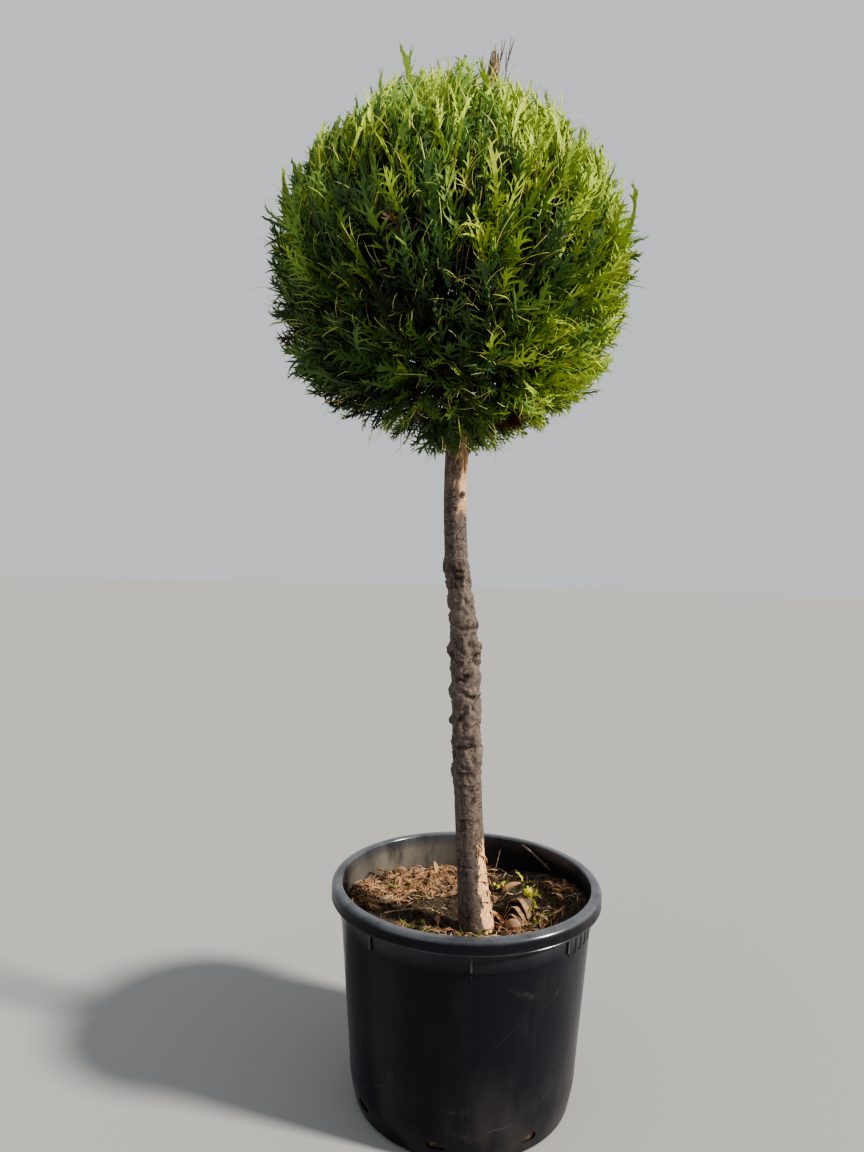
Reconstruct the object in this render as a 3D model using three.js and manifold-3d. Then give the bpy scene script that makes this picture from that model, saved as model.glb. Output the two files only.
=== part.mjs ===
// Potted lollipop topiary: a clipped ball of scale-leaf conifer on a bare stem, in a nursery pot.
// Millimetres, +Z up. The origin is the middle of the pot's flat underside, and -Y is the front.

import * as THREE from 'three';
import { mergeVertices } from 'three/addons/utils/BufferGeometryUtils.js';
import Module from 'manifold-3d';

const wasm = await Module();
wasm.setup();

const GAP = 0.35; // clearance left between neighbouring solids
const WELD = 1e-4; // vertices closer than this are one
const TURN = Math.PI * 2;
const DEG = Math.PI / 180;

const POT = {
  height: 320,
  rimRadius: 200,
  rimDrop: 21, // height of the rolled rim's skirt
  rimOuterRound: 7,
  rimInnerRound: 3,
  wall: 3,
  topRadius: 187, // outside of the wall, under the rim
  shoulderRadius: 168.5,
  shoulderHeight: 58,
  cornerRadius: 161, // where the foot's round corner meets the shoulder
  footRound: 9,
  floor: 4,
  segments: 40,
};

const GUSSETS = { count: 8, bottom: 268, proud: 4.5, width: 3.2 };
const LEDGE = { height: 268, proud: 1.2 };
const GRIPS = { count: 5, from: 47, to: 66, bottom: 262, proud: 3.2, width: 2.4 };
const DRAINS = { count: 8, first: -14, height: 25, length: 26, width: 11 };

const SOIL = { level: 263, slope: 0.035, dish: 20, dishRadius: 170, frontRise: 0.0125, lump: 2.4, rings: 5 };

// Stem stations: height, centre and radius. The first is the flat cut at the soil.
const STEM = [
  { z: 256, x: 16.5, y: -50, r: 26 },
  { z: 295, x: 11.5, y: -49, r: 24.4 },
  { z: 365, x: 4.6, y: -47, r: 21 },
  { z: 470, x: -3.1, y: -44, r: 19.4 },
  { z: 640, x: -11.2, y: -42, r: 18.8 },
  { z: 715, x: -16.4, y: -42, r: 17.8 },
  { z: 782, x: -25.8, y: -43, r: 16.5 },
  { z: 860, x: -30.3, y: -44, r: 16.1 },
  { z: 935, x: -30.9, y: -45, r: 15.8 },
  { z: 1100, x: -27, y: -47, r: 12.5 },
  { z: 1300, x: -9, y: -48, r: 9 },
  { z: 1440, x: 6, y: -46, r: 6.6 },
  { z: 1503, x: 9.5, y: -45, r: 2.8 },
];
const STEM_MESH = { sides: 16, bareRings: 44, hiddenRings: 9, bareTop: 960 };
const FLARE = { height: 24, lobe: 3.6, lobes: 3, turn: 25 };
const WRINKLES = { from: 480, to: 715, pitch: 33, depth: 1.1 };

// Knots on the stem: height, turn from +X in degrees, how proud and how wide. A dent is negative.
const KNOTS = [
  { z: 890, turn: -54, proud: 3.2, size: 6 },
  { z: 787, turn: 190, proud: 2.6, size: 8 },
  { z: 779, turn: -80, proud: 3.4, size: 11 },
  { z: 705, turn: -30, proud: 4.4, size: 7 },
  { z: 672, turn: -12, proud: 6.2, size: 9 },
  { z: 667, turn: 185, proud: 3.8, size: 8 },
  { z: 652, turn: -5, proud: 4.6, size: 8 },
  { z: 636, turn: -75, proud: 2.6, size: 10 },
  { z: 624, turn: 5, proud: 3.2, size: 8 },
  { z: 610, turn: 180, proud: 2.6, size: 9 },
  { z: 588, turn: -10, proud: 3, size: 9 },
  { z: 568, turn: 190, proud: 3.4, size: 8 },
  { z: 545, turn: -70, proud: 3.6, size: 13 },
  { z: 521, turn: -5, proud: 3.4, size: 9 },
  { z: 493, turn: 185, proud: 2.4, size: 8 },
  { z: 646, turn: 95, proud: 4.2, size: 9 },
  { z: 560, turn: 80, proud: 3.8, size: 9 },
  { z: 742, turn: 110, proud: 3.4, size: 8 },
  { z: 379, turn: -38, proud: -4.2, size: 7 },
];

// The clipped crown: a round form with its own power for the upper and the lower half.
const CROWN = {
  centre: new THREE.Vector3(-43, -45, 1204),
  radius: 248,
  above: 250,
  below: 259,
  powerAbove: 1.65,
  powerBelow: 1.92,
  core: 0.83, // size of the dense core, as a share of the reach
  uneven: 5,
};
// Where the clipping left the crown fuller: turn from +X, height above the level, and how much.
const BULGES = [
  { turn: 180, rise: -34, proud: 17, spread: 12 },
  { turn: 2, rise: -33, proud: 9, spread: 10 },
  { turn: 180, rise: 56, proud: 16, spread: 7 },
  { turn: 0, rise: 46, proud: 11, spread: 10 },
  { turn: 0, rise: 9, proud: 9, spread: 8 },
  { turn: 95, rise: -28, proud: 10, spread: 12 },
  { turn: 120, rise: 40, proud: 10, spread: 11 },
];

const SPRAYS = {
  seed: 41,
  count: 262,
  sink: 15, // how deep a spray's root goes into the core
  sweep: 15, // degrees by which a tip stands higher than its root
  droop: 3,
  beyond: 1.06, // the furthest tips stand a little beyond the clipped form
  shallow: 0.08, // largest share of the reach that a tip falls short of those
  halfWidth: 0.28,
  thickness: 3.2,
  roll: 75,
  limbGap: 2.6,
};

// Single shoots that outgrew the clipping: tip in millimetres, and half width of the shoot.
const WISPS = [
  { x: -131, y: -45, z: 1513, half: 6 },
  { x: -104, y: -55, z: 1506, half: 6 },
  { x: -145, y: -42, z: 1487, half: 7 },
  { x: -164, y: -50, z: 1456, half: 9 },
  { x: -42, y: -40, z: 1494, half: 7 },
  { x: 32, y: -43, z: 1525, half: 5 },
  { x: 19, y: -54, z: 1516, half: 5 },
  { x: 67, y: -50, z: 1468, half: 9 },
  { x: 105, y: -45, z: 1455, half: 9 },
  { x: 147, y: -48, z: 1398, half: 11 },
  { x: -312, y: -45, z: 1289, half: 12 },
  { x: -313, y: -62, z: 1262, half: 11 },
  { x: -309, y: -38, z: 1178, half: 11 },
  { x: -301, y: -50, z: 1118, half: 11 },
  { x: 234, y: -45, z: 1257, half: 14 },
  { x: 226, y: -60, z: 1228, half: 13 },
  { x: -223, y: -45, z: 1010, half: 9 },
  { x: -176, y: -60, z: 976, half: 11 },
  { x: -124, y: -62, z: 950, half: 11 },
  { x: -72, y: -66, z: 946, half: 10 },
  { x: 48, y: -60, z: 958, half: 11 },
  { x: 93, y: -50, z: 990, half: 12 },
  { x: -70, y: 213, z: 1262, half: 12 },
  { x: 64, y: 190, z: 1140, half: 12 },
  { x: -96, y: 120, z: 1424, half: 9 },
];

// Boughs under the crown: each leaves the stem at its foot height and rises into the crown's core.
const BOUGHS = {
  count: 6,
  firstTurn: 20,
  foot: 962,
  stagger: 9,
  reach: 118,
  rise: 112,
  radius: 6.6,
  tip: 3.8,
};
const BOUGH_MESH = { sides: 7, rings: 8 };

// A sawn-off stub that lies half sunk in the soil, beside the stem.
const STUB = {
  sawn: new THREE.Vector3(66, -62, 275),
  back: new THREE.Vector3(86, 6, 283),
  sawnRadius: 14,
  backRadius: 23,
  flatten: 0.82,
  sides: 12,
  rings: 5,
};

const COLOURS = {
  plastic: { color: 0x1b1d20, roughness: 0.45, metalness: 0 },
  soil: { color: 0x4a3524, roughness: 0.95, metalness: 0 },
  bark: { color: 0x75604e, roughness: 0.85, metalness: 0 },
  stub: { color: 0x8c7355, roughness: 0.85, metalness: 0 },
  foliage: { color: 0x4f7424, roughness: 0.7, metalness: 0 },
};

// Seeded random numbers from 0 to 1.
function seeded(seed) {
  let state = seed >>> 0;
  return () => {
    state = (state + 0x6d2b79f5) >>> 0;
    let mix = state;
    mix = Math.imul(mix ^ (mix >>> 15), mix | 1);
    mix ^= mix + Math.imul(mix ^ (mix >>> 7), mix | 61);
    return ((mix ^ (mix >>> 14)) >>> 0) / 4294967296;
  };
}

// One closed solid from a geometry: shared vertices merged, empty triangles dropped.
function solid(geometry) {
  geometry.deleteAttribute('normal');
  geometry.deleteAttribute('uv');
  const merged = mergeVertices(geometry, WELD);
  const index = merged.index.array;
  const triVerts = [];
  for (let i = 0; i < index.length; i += 3) {
    const [a, b, c] = [index[i], index[i + 1], index[i + 2]];
    if (a !== b && b !== c && c !== a) triVerts.push(a, b, c);
  }
  const vertProperties = new Float32Array(merged.attributes.position.array);
  return new wasm.Manifold(
    new wasm.Mesh({ numProp: 3, vertProperties, triVerts: new Uint32Array(triVerts) }),
  );
}

function geometryOf(manifold) {
  const mesh = manifold.getMesh();
  const geometry = new THREE.BufferGeometry();
  geometry.setAttribute('position', new THREE.BufferAttribute(new Float32Array(mesh.vertProperties), 3));
  geometry.setIndex(new THREE.BufferAttribute(new Uint32Array(mesh.triVerts), 1));
  geometry.computeVertexNormals();
  return geometry;
}

function joined(manifolds) {
  let parts = [...manifolds];
  while (parts.length > 1) {
    const next = [];
    for (let i = 0; i < parts.length; i += 2) {
      next.push(i + 1 < parts.length ? parts[i].add(parts[i + 1]) : parts[i]);
    }
    parts = next;
  }
  return parts[0];
}

// Points of an arc in a lathe's profile, radius outwards and height up.
function arc(r, z, radius, from, to, steps) {
  return Array.from({ length: steps + 1 }, (_, i) => {
    const angle = (from + ((to - from) * i) / steps) * DEG;
    return new THREE.Vector2(r + radius * Math.cos(angle), z + radius * Math.sin(angle));
  });
}

function lathe(profile, segments) {
  return new THREE.LatheGeometry(profile, segments).rotateX(Math.PI / 2);
}

// A value between stations by a smooth curve through them.
function between(stations, z, key) {
  const last = stations.length - 1;
  let i = 0;
  while (i < last - 1 && z > stations[i + 1].z) i += 1;
  const [a, b] = [stations[i], stations[i + 1]];
  const before = stations[Math.max(i - 1, 0)];
  const after = stations[Math.min(i + 2, last)];
  const span = b.z - a.z;
  const t = (z - a.z) / span;
  const slopeA = ((b[key] - before[key]) / (b.z - before.z)) * span;
  const slopeB = ((after[key] - a[key]) / (after.z - a.z)) * span;
  const t2 = t * t;
  const t3 = t2 * t;
  return (
    (2 * t3 - 3 * t2 + 1) * a[key] + (t3 - 2 * t2 + t) * slopeA +
    (3 * t2 - 2 * t3) * b[key] + (t3 - t2) * slopeB
  );
}

function stemCentre(z) {
  return new THREE.Vector3(between(STEM, z, 'x'), between(STEM, z, 'y'), z);
}

// Outer radius of the stem at a height and a turn from +X in radians, with flare, wrinkles and knots.
function stemRadius(z, turn) {
  const top = STEM[STEM.length - 1].z;
  let r = between(STEM, THREE.MathUtils.clamp(z, STEM[0].z, top), 'r');
  const lobe = 0.5 + 0.5 * Math.cos(FLARE.lobes * (turn - FLARE.turn * DEG));
  r += FLARE.lobe * lobe * Math.exp(-(z - STEM[0].z) / FLARE.height);
  const inside = THREE.MathUtils.smoothstep(z, WRINKLES.from, WRINKLES.from + 60)
    * (1 - THREE.MathUtils.smoothstep(z, WRINKLES.to - 40, WRINKLES.to));
  r += WRINKLES.depth * inside * Math.sin((z / WRINKLES.pitch) * TURN + 1.6 * Math.sin(turn * 2));
  for (const knot of KNOTS) {
    const away = Math.atan2(Math.sin(turn - knot.turn * DEG), Math.cos(turn - knot.turn * DEG));
    const across = (away * r) / knot.size;
    const along = (z - knot.z) / knot.size;
    r += knot.proud * Math.exp(-across * across - along * along);
  }
  return r;
}

// The stem from its flat cut to its tip, made bigger all round by grow where it cuts a neighbour.
function stem(grow) {
  const rings = STEM_MESH.bareRings + STEM_MESH.hiddenRings;
  const bareShare = STEM_MESH.bareRings / rings;
  const geometry = new THREE.CylinderGeometry(1, 1, 1, STEM_MESH.sides, rings).rotateX(Math.PI / 2);
  const position = geometry.attributes.position;
  const bottom = STEM[0].z - grow;
  const top = STEM[STEM.length - 1].z + grow * 3;
  for (let i = 0; i < position.count; i++) {
    const share = position.getZ(i) + 0.5;
    const z = share < bareShare
      ? THREE.MathUtils.mapLinear(share, 0, bareShare, bottom, STEM_MESH.bareTop)
      : THREE.MathUtils.mapLinear(share, bareShare, 1, STEM_MESH.bareTop, top);
    const out = Math.hypot(position.getX(i), position.getY(i));
    const turn = Math.atan2(position.getY(i), position.getX(i));
    const height = THREE.MathUtils.clamp(z, STEM[0].z, STEM[STEM.length - 1].z);
    const radius = out > 0.5 ? stemRadius(height, turn) + grow : 0;
    const centre = stemCentre(height);
    position.setXYZ(i, centre.x + radius * Math.cos(turn), centre.y + radius * Math.sin(turn), z);
  }
  return solid(geometry);
}

function potWallRadius(z) {
  const skirt = POT.height - POT.rimDrop;
  return THREE.MathUtils.mapLinear(z, POT.shoulderHeight, skirt, POT.shoulderRadius, POT.topRadius);
}

// The pot's outside from the middle of its foot up to the ledge.
function potFootProfile(inset) {
  const steps = 3;
  const foot = POT.cornerRadius - POT.footRound;
  const corner = arc(foot, POT.footRound, POT.footRound - inset, -90, -8, steps);
  const shoulder = Array.from({ length: steps }, (_, i) => {
    const share = (i + 1) / steps;
    const bend = Math.sin((share * Math.PI) / 2);
    const r = THREE.MathUtils.lerp(POT.cornerRadius, POT.shoulderRadius, bend);
    return new THREE.Vector2(r - inset, THREE.MathUtils.lerp(POT.footRound, POT.shoulderHeight, share));
  });
  return [...corner, ...shoulder];
}

// The pot: one closed profile turned round, with gussets and grip ribs added and drain holes cut.
function pot() {
  const inner = POT.topRadius - POT.wall;
  const skirt = POT.height - POT.rimDrop;
  const outerRound = POT.rimOuterRound;
  const innerRound = POT.rimInnerRound;
  const outside = [
    new THREE.Vector2(0, 0),
    ...potFootProfile(0),
    new THREE.Vector2(potWallRadius(LEDGE.height), LEDGE.height),
    new THREE.Vector2(potWallRadius(LEDGE.height) + LEDGE.proud, LEDGE.height + LEDGE.proud),
    new THREE.Vector2(POT.topRadius + LEDGE.proud, POT.height - POT.wall),
    new THREE.Vector2(POT.rimRadius - POT.wall, POT.height - POT.wall - outerRound / 2),
    new THREE.Vector2(POT.rimRadius - POT.wall, skirt),
    new THREE.Vector2(POT.rimRadius, skirt),
    ...arc(POT.rimRadius - outerRound, POT.height - outerRound, outerRound, 0, 90, 3),
    ...arc(inner + innerRound, POT.height - innerRound, innerRound, 90, 180, 2),
  ];
  const insideFoot = potFootProfile(POT.wall).filter((point) => point.y > POT.floor);
  const floorEdge = new THREE.Vector2(insideFoot[0].x - 4, POT.floor);
  const inside = [new THREE.Vector2(inner, skirt), ...insideFoot.reverse(), floorEdge];
  const profile = [...outside, ...inside, new THREE.Vector2(0, POT.floor)];
  let body = solid(lathe(profile, POT.segments));
  for (const part of [...gussets(), ...grips()]) body = body.add(part);
  for (const hole of drains()) body = body.subtract(hole);
  return body;
}

// A rib on the wall, from under the rim down to its foot, tapering in like the wall.
function rib(turn, bottom, proud, width) {
  const top = POT.height - POT.wall - 1;
  const shape = new THREE.Shape([
    new THREE.Vector2(potWallRadius(bottom) - 1.5, bottom),
    new THREE.Vector2(potWallRadius(bottom) + proud, bottom + 6),
    new THREE.Vector2(POT.topRadius + proud, top),
    new THREE.Vector2(POT.topRadius - 1.5, top),
  ]);
  const geometry = new THREE.ExtrudeGeometry(shape, { depth: width, bevelEnabled: false });
  geometry.translate(0, 0, -width / 2).rotateX(Math.PI / 2).rotateZ(turn);
  return solid(geometry);
}

function gussets() {
  return Array.from({ length: GUSSETS.count }, (_, i) => {
    const turn = -Math.PI / 2 + (i * TURN) / GUSSETS.count;
    return rib(turn, GUSSETS.bottom, GUSSETS.proud, GUSSETS.width);
  });
}

// Close-set grip ribs, on the right of the front and again opposite.
function grips() {
  const turns = [];
  for (const side of [0, Math.PI]) {
    for (let i = 0; i < GRIPS.count; i++) {
      const degrees = THREE.MathUtils.lerp(GRIPS.from, GRIPS.to, i / (GRIPS.count - 1));
      turns.push(side - Math.PI / 2 + degrees * DEG);
    }
  }
  return turns.map((turn) => rib(turn, GRIPS.bottom, GRIPS.proud, GRIPS.width));
}

// Oblong drain holes round the foot's shoulder.
function drains() {
  const half = DRAINS.width / 2;
  const straight = DRAINS.length / 2 - half;
  const outline = new THREE.Shape();
  outline.absarc(straight, 0, half, -Math.PI / 2, Math.PI / 2, false);
  outline.absarc(-straight, 0, half, Math.PI / 2, (3 * Math.PI) / 2, false);
  const depth = 30;
  const proud = 5;
  return Array.from({ length: DRAINS.count }, (_, i) => {
    const geometry = new THREE.ExtrudeGeometry(outline, { depth, bevelEnabled: false, curveSegments: 3 });
    geometry.translate(0, 0, POT.shoulderRadius - depth + proud);
    geometry.rotateX(Math.PI / 2).translate(0, 0, DRAINS.height);
    geometry.rotateZ((DRAINS.first + (i * 360) / DRAINS.count) * DEG);
    return solid(geometry);
  });
}

function soilHeight(x, y) {
  const dish = SOIL.dish * (x / SOIL.dishRadius) ** 2;
  const lumps = Math.sin(x / 13 + 1.3 * Math.sin(y / 29)) + Math.sin(y / 17 + 1.7 * Math.sin(x / 23));
  return SOIL.level + SOIL.slope * x + dish - SOIL.frontRise * y + (SOIL.lump / 2) * lumps;
}

// The potting soil fills the pot and has a pocket round what stands in it.
function soil(pockets) {
  const below = potFootProfile(POT.wall + GAP).filter((point) => point.y > POT.floor + 2);
  const edge = potWallRadius(SOIL.level) - POT.wall - GAP;
  const floorEdge = new THREE.Vector2(below[0].x - 4, POT.floor + GAP);
  const profile = [new THREE.Vector2(0, POT.floor + GAP), floorEdge, ...below];
  for (let i = 0; i <= SOIL.rings; i++) {
    profile.push(new THREE.Vector2(edge * (1 - i / SOIL.rings), SOIL.level));
  }
  const geometry = lathe(profile, POT.segments);
  const position = geometry.attributes.position;
  for (let i = 0; i < position.count; i++) {
    if (position.getZ(i) < SOIL.level - 1) continue;
    const z = soilHeight(position.getX(i), position.getY(i));
    const out = Math.hypot(position.getX(i), position.getY(i));
    const fit = out > edge - 1 ? (potWallRadius(z) - POT.wall - GAP) / out : 1;
    position.setXYZ(i, position.getX(i) * fit, position.getY(i) * fit, z);
  }
  return pockets.reduce((body, pocket) => body.subtract(pocket), solid(geometry));
}

// A tapering round limb along a curve, with its radius given by a function of the share of its length.
function limb(curve, radiusAt, sides, rings, flatten = 1) {
  const geometry = new THREE.CylinderGeometry(1, 1, 1, sides, rings).rotateX(Math.PI / 2);
  const position = geometry.attributes.position;
  const up = new THREE.Vector3(0, 0, 1);
  for (let i = 0; i < position.count; i++) {
    const share = position.getZ(i) + 0.5;
    const forward = curve.getTangent(share);
    const across = new THREE.Vector3().crossVectors(up, forward).normalize();
    const over = new THREE.Vector3().crossVectors(forward, across);
    const radius = radiusAt(share);
    const point = curve.getPoint(share)
      .addScaledVector(across, position.getX(i) * radius)
      .addScaledVector(over, position.getY(i) * radius * flatten);
    position.setXYZ(i, point.x, point.y, point.z);
  }
  return solid(geometry);
}

function boughCurve(i) {
  const turn = (BOUGHS.firstTurn + (i * 360) / BOUGHS.count) * DEG;
  const out = new THREE.Vector3(Math.cos(turn), Math.sin(turn), 0);
  const start = stemCentre(BOUGHS.foot + BOUGHS.stagger * (i % 3));
  const middle = start.clone().addScaledVector(out, BOUGHS.reach * 0.62);
  middle.z += BOUGHS.rise * 0.22;
  const end = start.clone().addScaledVector(out, BOUGHS.reach);
  end.z += BOUGHS.rise;
  return new THREE.QuadraticBezierCurve3(start, middle, end);
}

function boughRadius(share) {
  return THREE.MathUtils.lerp(BOUGHS.radius, BOUGHS.tip, share);
}

function bough(i, grow) {
  return limb(boughCurve(i), (share) => boughRadius(share) + grow, BOUGH_MESH.sides, BOUGH_MESH.rings);
}

function stub(grow) {
  const along = new THREE.LineCurve3(STUB.sawn, STUB.back);
  if (grow > 0) {
    const forward = along.getTangent(0).multiplyScalar(grow);
    along.v1 = STUB.sawn.clone().sub(forward);
    along.v2 = STUB.back.clone().add(forward);
  }
  const radiusAt = (share) => THREE.MathUtils.lerp(STUB.sawnRadius, STUB.backRadius, share ** 0.7) + grow;
  return limb(along, radiusAt, STUB.sides, STUB.rings, STUB.flatten);
}

// How far the crown reaches from its centre in a direction.
function crownReach(direction) {
  const level = Math.hypot(direction.x, direction.y);
  const upper = direction.z >= 0;
  const power = upper ? CROWN.powerAbove : CROWN.powerBelow;
  const half = upper ? CROWN.above : CROWN.below;
  const sum = (level / CROWN.radius) ** power + (Math.abs(direction.z) / half) ** power;
  let reach = sum ** (-1 / power);
  for (const bulge of BULGES) {
    const [turn, rise] = [bulge.turn * DEG, bulge.rise * DEG];
    const towards = new THREE.Vector3(
      Math.cos(turn) * Math.cos(rise), Math.sin(turn) * Math.cos(rise), Math.sin(rise),
    );
    const away = direction.angleTo(towards) / (bulge.spread * DEG);
    reach += bulge.proud * Math.exp(-away * away);
  }
  const wave = Math.sin(7 * direction.x + 2) + Math.sin(8 * direction.y + 9 * direction.z)
    + Math.sin(11 * direction.z - 5 * direction.x);
  return reach + (CROWN.uneven / 2) * wave;
}

function crownPoint(direction, share) {
  return CROWN.centre.clone().addScaledVector(direction, crownReach(direction) * share);
}

// The dense core that the sprays stand out of.
function core(grow) {
  const geometry = new THREE.IcosahedronGeometry(1, 5);
  const position = geometry.attributes.position;
  const direction = new THREE.Vector3();
  for (let i = 0; i < position.count; i++) {
    direction.fromBufferAttribute(position, i).normalize();
    const point = crownPoint(direction, CROWN.core).addScaledVector(direction, grow);
    position.setXYZ(i, point.x, point.y, point.z);
  }
  return solid(geometry);
}

// Direction number i of many, spread evenly over the ball on a spiral and shifted a little at random.
function spiralDirection(i, count, random) {
  const golden = Math.PI * (3 - Math.sqrt(5));
  const shift = 0.8 / Math.sqrt(count);
  const z = THREE.MathUtils.clamp(1 - (2 * (i + 0.5)) / count + (random() - 0.5) * shift, -0.999, 0.999);
  const turn = i * golden + ((random() - 0.5) * shift * 2) / Math.sqrt(1 - z * z);
  const level = Math.sqrt(1 - z * z);
  return new THREE.Vector3(level * Math.cos(turn), level * Math.sin(turn), z);
}

// The same direction turned down towards the foot of the crown.
function lowered(direction, degrees) {
  const axis = new THREE.Vector3(-direction.y, direction.x, 0);
  if (axis.length() < 1e-3) return direction.clone();
  return direction.clone().applyAxisAngle(axis.normalize(), degrees * DEG);
}

// Half outline of a flat spray: share of its length, then share of its half width.
const SPRAY_OUTLINE = [
  [0.42, 0.95],
  [0.5, 0.36],
  [0.76, 0.85],
];
const SPRAY_MIDDLE = 0.5;

// A flat toothed spray, thickest along its middle, from root to tip.
function sprayPoints(root, tip, halfWidth, roll, lopsided) {
  const forward = tip.clone().sub(root);
  const length = forward.length();
  forward.normalize();
  const level = new THREE.Vector3(-forward.y, forward.x, 0);
  if (level.length() < 0.05) level.set(1, 0, 0);
  const side = level.normalize().applyAxisAngle(forward, roll);
  const flat = new THREE.Vector3().crossVectors(forward, side);
  const at = (share, across, off) => root.clone()
    .addScaledVector(forward, share * length)
    .addScaledVector(side, across * halfWidth)
    .addScaledVector(flat, off);
  const right = SPRAY_OUTLINE.map(([share, across]) => at(share + lopsided, across, 0));
  const left = SPRAY_OUTLINE.map(([share, across]) => at(share - lopsided, -across, 0)).reverse();
  return {
    outline: [root.clone(), ...right, tip.clone(), ...left],
    front: at(SPRAY_MIDDLE, 0, SPRAYS.thickness / 2),
    back: at(SPRAY_MIDDLE, 0, -SPRAYS.thickness / 2),
  };
}

function spraySolid({ outline, front, back }) {
  const points = [...outline, front, back];
  const [frontIndex, backIndex] = [outline.length, outline.length + 1];
  const index = [];
  outline.forEach((_, i) => {
    const next = (i + 1) % outline.length;
    index.push(next, i, frontIndex, i, next, backIndex);
  });
  const geometry = new THREE.BufferGeometry().setFromPoints(points);
  geometry.setIndex(index);
  return solid(geometry);
}

// True where a point is closer to the stem or a bough than the gap that sprays keep.
function nearLimb(point) {
  const top = STEM[STEM.length - 1].z;
  const height = THREE.MathUtils.clamp(point.z, STEM[0].z, top);
  const fromStem = point.distanceTo(stemCentre(height));
  if (fromStem < between(STEM, height, 'r') + SPRAYS.limbGap) return true;
  return BOUGH_LINES.some((line) => (
    line.some(({ at, radius }) => point.distanceTo(at) < radius + SPRAYS.limbGap)
  ));
}

const BOUGH_LINES = Array.from({ length: BOUGHS.count }, (_, i) => {
  const curve = boughCurve(i);
  const steps = 24;
  return Array.from({ length: steps + 1 }, (__, step) => ({
    at: curve.getPoint(step / steps),
    radius: boughRadius(step / steps),
  }));
});

// A spray is tried at points all over its face, along its edges and on lines to its middle.
function clearOfLimbs({ outline, front }) {
  const edges = outline.map((point, i) => point.clone().lerp(outline[(i + 1) % outline.length], 0.5));
  const rim = [...outline, ...edges];
  const inner = [0.3, 0.6].flatMap((share) => rim.map((point) => point.clone().lerp(front, share)));
  return ![...rim, ...inner, front].some(nearLimb);
}

// Every spray of the crown by one seeded rule, then the shoots that outgrew the clipping.
function sprays() {
  const random = seeded(SPRAYS.seed);
  const kept = [];
  for (let i = 0; i < SPRAYS.count; i++) {
    const direction = spiralDirection(i, SPRAYS.count, random);
    const tip = crownPoint(direction, SPRAYS.beyond - SPRAYS.shallow * random());
    const sweep = direction.z > -0.2 ? SPRAYS.sweep : SPRAYS.droop;
    const from = lowered(direction, sweep * (0.6 + 0.8 * random()));
    const root = crownPoint(from, CROWN.core).addScaledVector(from, -SPRAYS.sink);
    const wide = root.distanceTo(tip) * SPRAYS.halfWidth * (0.85 + 0.4 * random());
    const roll = (random() - 0.5) * 2 * SPRAYS.roll * DEG;
    const points = sprayPoints(root, tip, wide, roll, (random() - 0.5) * 0.1);
    if (clearOfLimbs(points)) kept.push(spraySolid(points));
  }
  for (const wisp of WISPS) {
    const tip = new THREE.Vector3(wisp.x, wisp.y, wisp.z);
    const from = lowered(tip.clone().sub(CROWN.centre).normalize(), SPRAYS.droop);
    const root = crownPoint(from, CROWN.core).addScaledVector(from, -SPRAYS.sink);
    const points = sprayPoints(root, tip, wisp.half, random() * Math.PI, 0.04);
    if (clearOfLimbs(points)) kept.push(spraySolid(points));
  }
  return kept;
}

// The crown: core and sprays as one body, with a channel for the stem.
function crown() {
  return joined([core(0), ...sprays()]).subtract(stem(GAP));
}

function piece(name, manifold, look) {
  const mesh = new THREE.Mesh(geometryOf(manifold), new THREE.MeshStandardMaterial(COLOURS[look]));
  mesh.name = name;
  return mesh;
}

const topiary = new THREE.Group();
topiary.add(piece('pot', pot(), 'plastic'));
topiary.add(piece('potting_soil', soil([stem(GAP), stub(GAP)]), 'soil'));
topiary.add(piece('trunk', stem(0), 'bark'));
topiary.add(piece('sawn_stub', stub(0), 'stub'));
const clearOfStem = stem(GAP);
const clearOfCore = core(GAP);
for (let i = 0; i < BOUGHS.count; i++) {
  topiary.add(piece(`bough_${i + 1}`, bough(i, 0).subtract(clearOfStem).subtract(clearOfCore), 'bark'));
}
topiary.add(piece('clipped_crown', crown(), 'foliage'));

export default topiary;
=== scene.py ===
"""Potted lollipop topiary: a clipped ball of scale-leaf conifer on a bare stem, in a nursery pot.

Everything is in metres, +Z up, with the origin in the middle of the pot's underside and -Y the front.
"""

import math
from contextlib import contextmanager

import bpy
import numpy as np
from mathutils import Euler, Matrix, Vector, noise


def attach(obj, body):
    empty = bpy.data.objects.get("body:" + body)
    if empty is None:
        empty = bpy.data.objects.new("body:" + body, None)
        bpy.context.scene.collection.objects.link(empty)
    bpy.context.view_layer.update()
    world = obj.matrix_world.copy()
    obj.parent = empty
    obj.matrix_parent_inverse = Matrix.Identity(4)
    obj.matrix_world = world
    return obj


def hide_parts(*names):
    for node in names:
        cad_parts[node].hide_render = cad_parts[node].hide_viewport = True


bl_info = {
    "name": "Potted lollipop topiary",
    "version": (1, 0, 0),
    "blender": (4, 5, 0),
    "location": "3D View > Sidebar > Topiary",
    "description": "Models a clipped conifer ball on a bare stem in a nursery pot",
    "category": "Add Mesh",
}

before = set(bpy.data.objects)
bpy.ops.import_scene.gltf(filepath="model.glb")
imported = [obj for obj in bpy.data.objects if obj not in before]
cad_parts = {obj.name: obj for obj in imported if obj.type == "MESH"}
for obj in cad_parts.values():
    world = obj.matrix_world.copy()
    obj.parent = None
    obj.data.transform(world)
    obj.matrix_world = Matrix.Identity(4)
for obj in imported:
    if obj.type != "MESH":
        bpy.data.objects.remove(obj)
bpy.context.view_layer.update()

MM = 0.001
DEG = math.pi / 180
GOLDEN_TURN = math.pi * (3 - math.sqrt(5))
MOST_TRIANGLES = 180_000  # in one joined piece
TINY = 1e-6  # below this, lengths count as none

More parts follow.
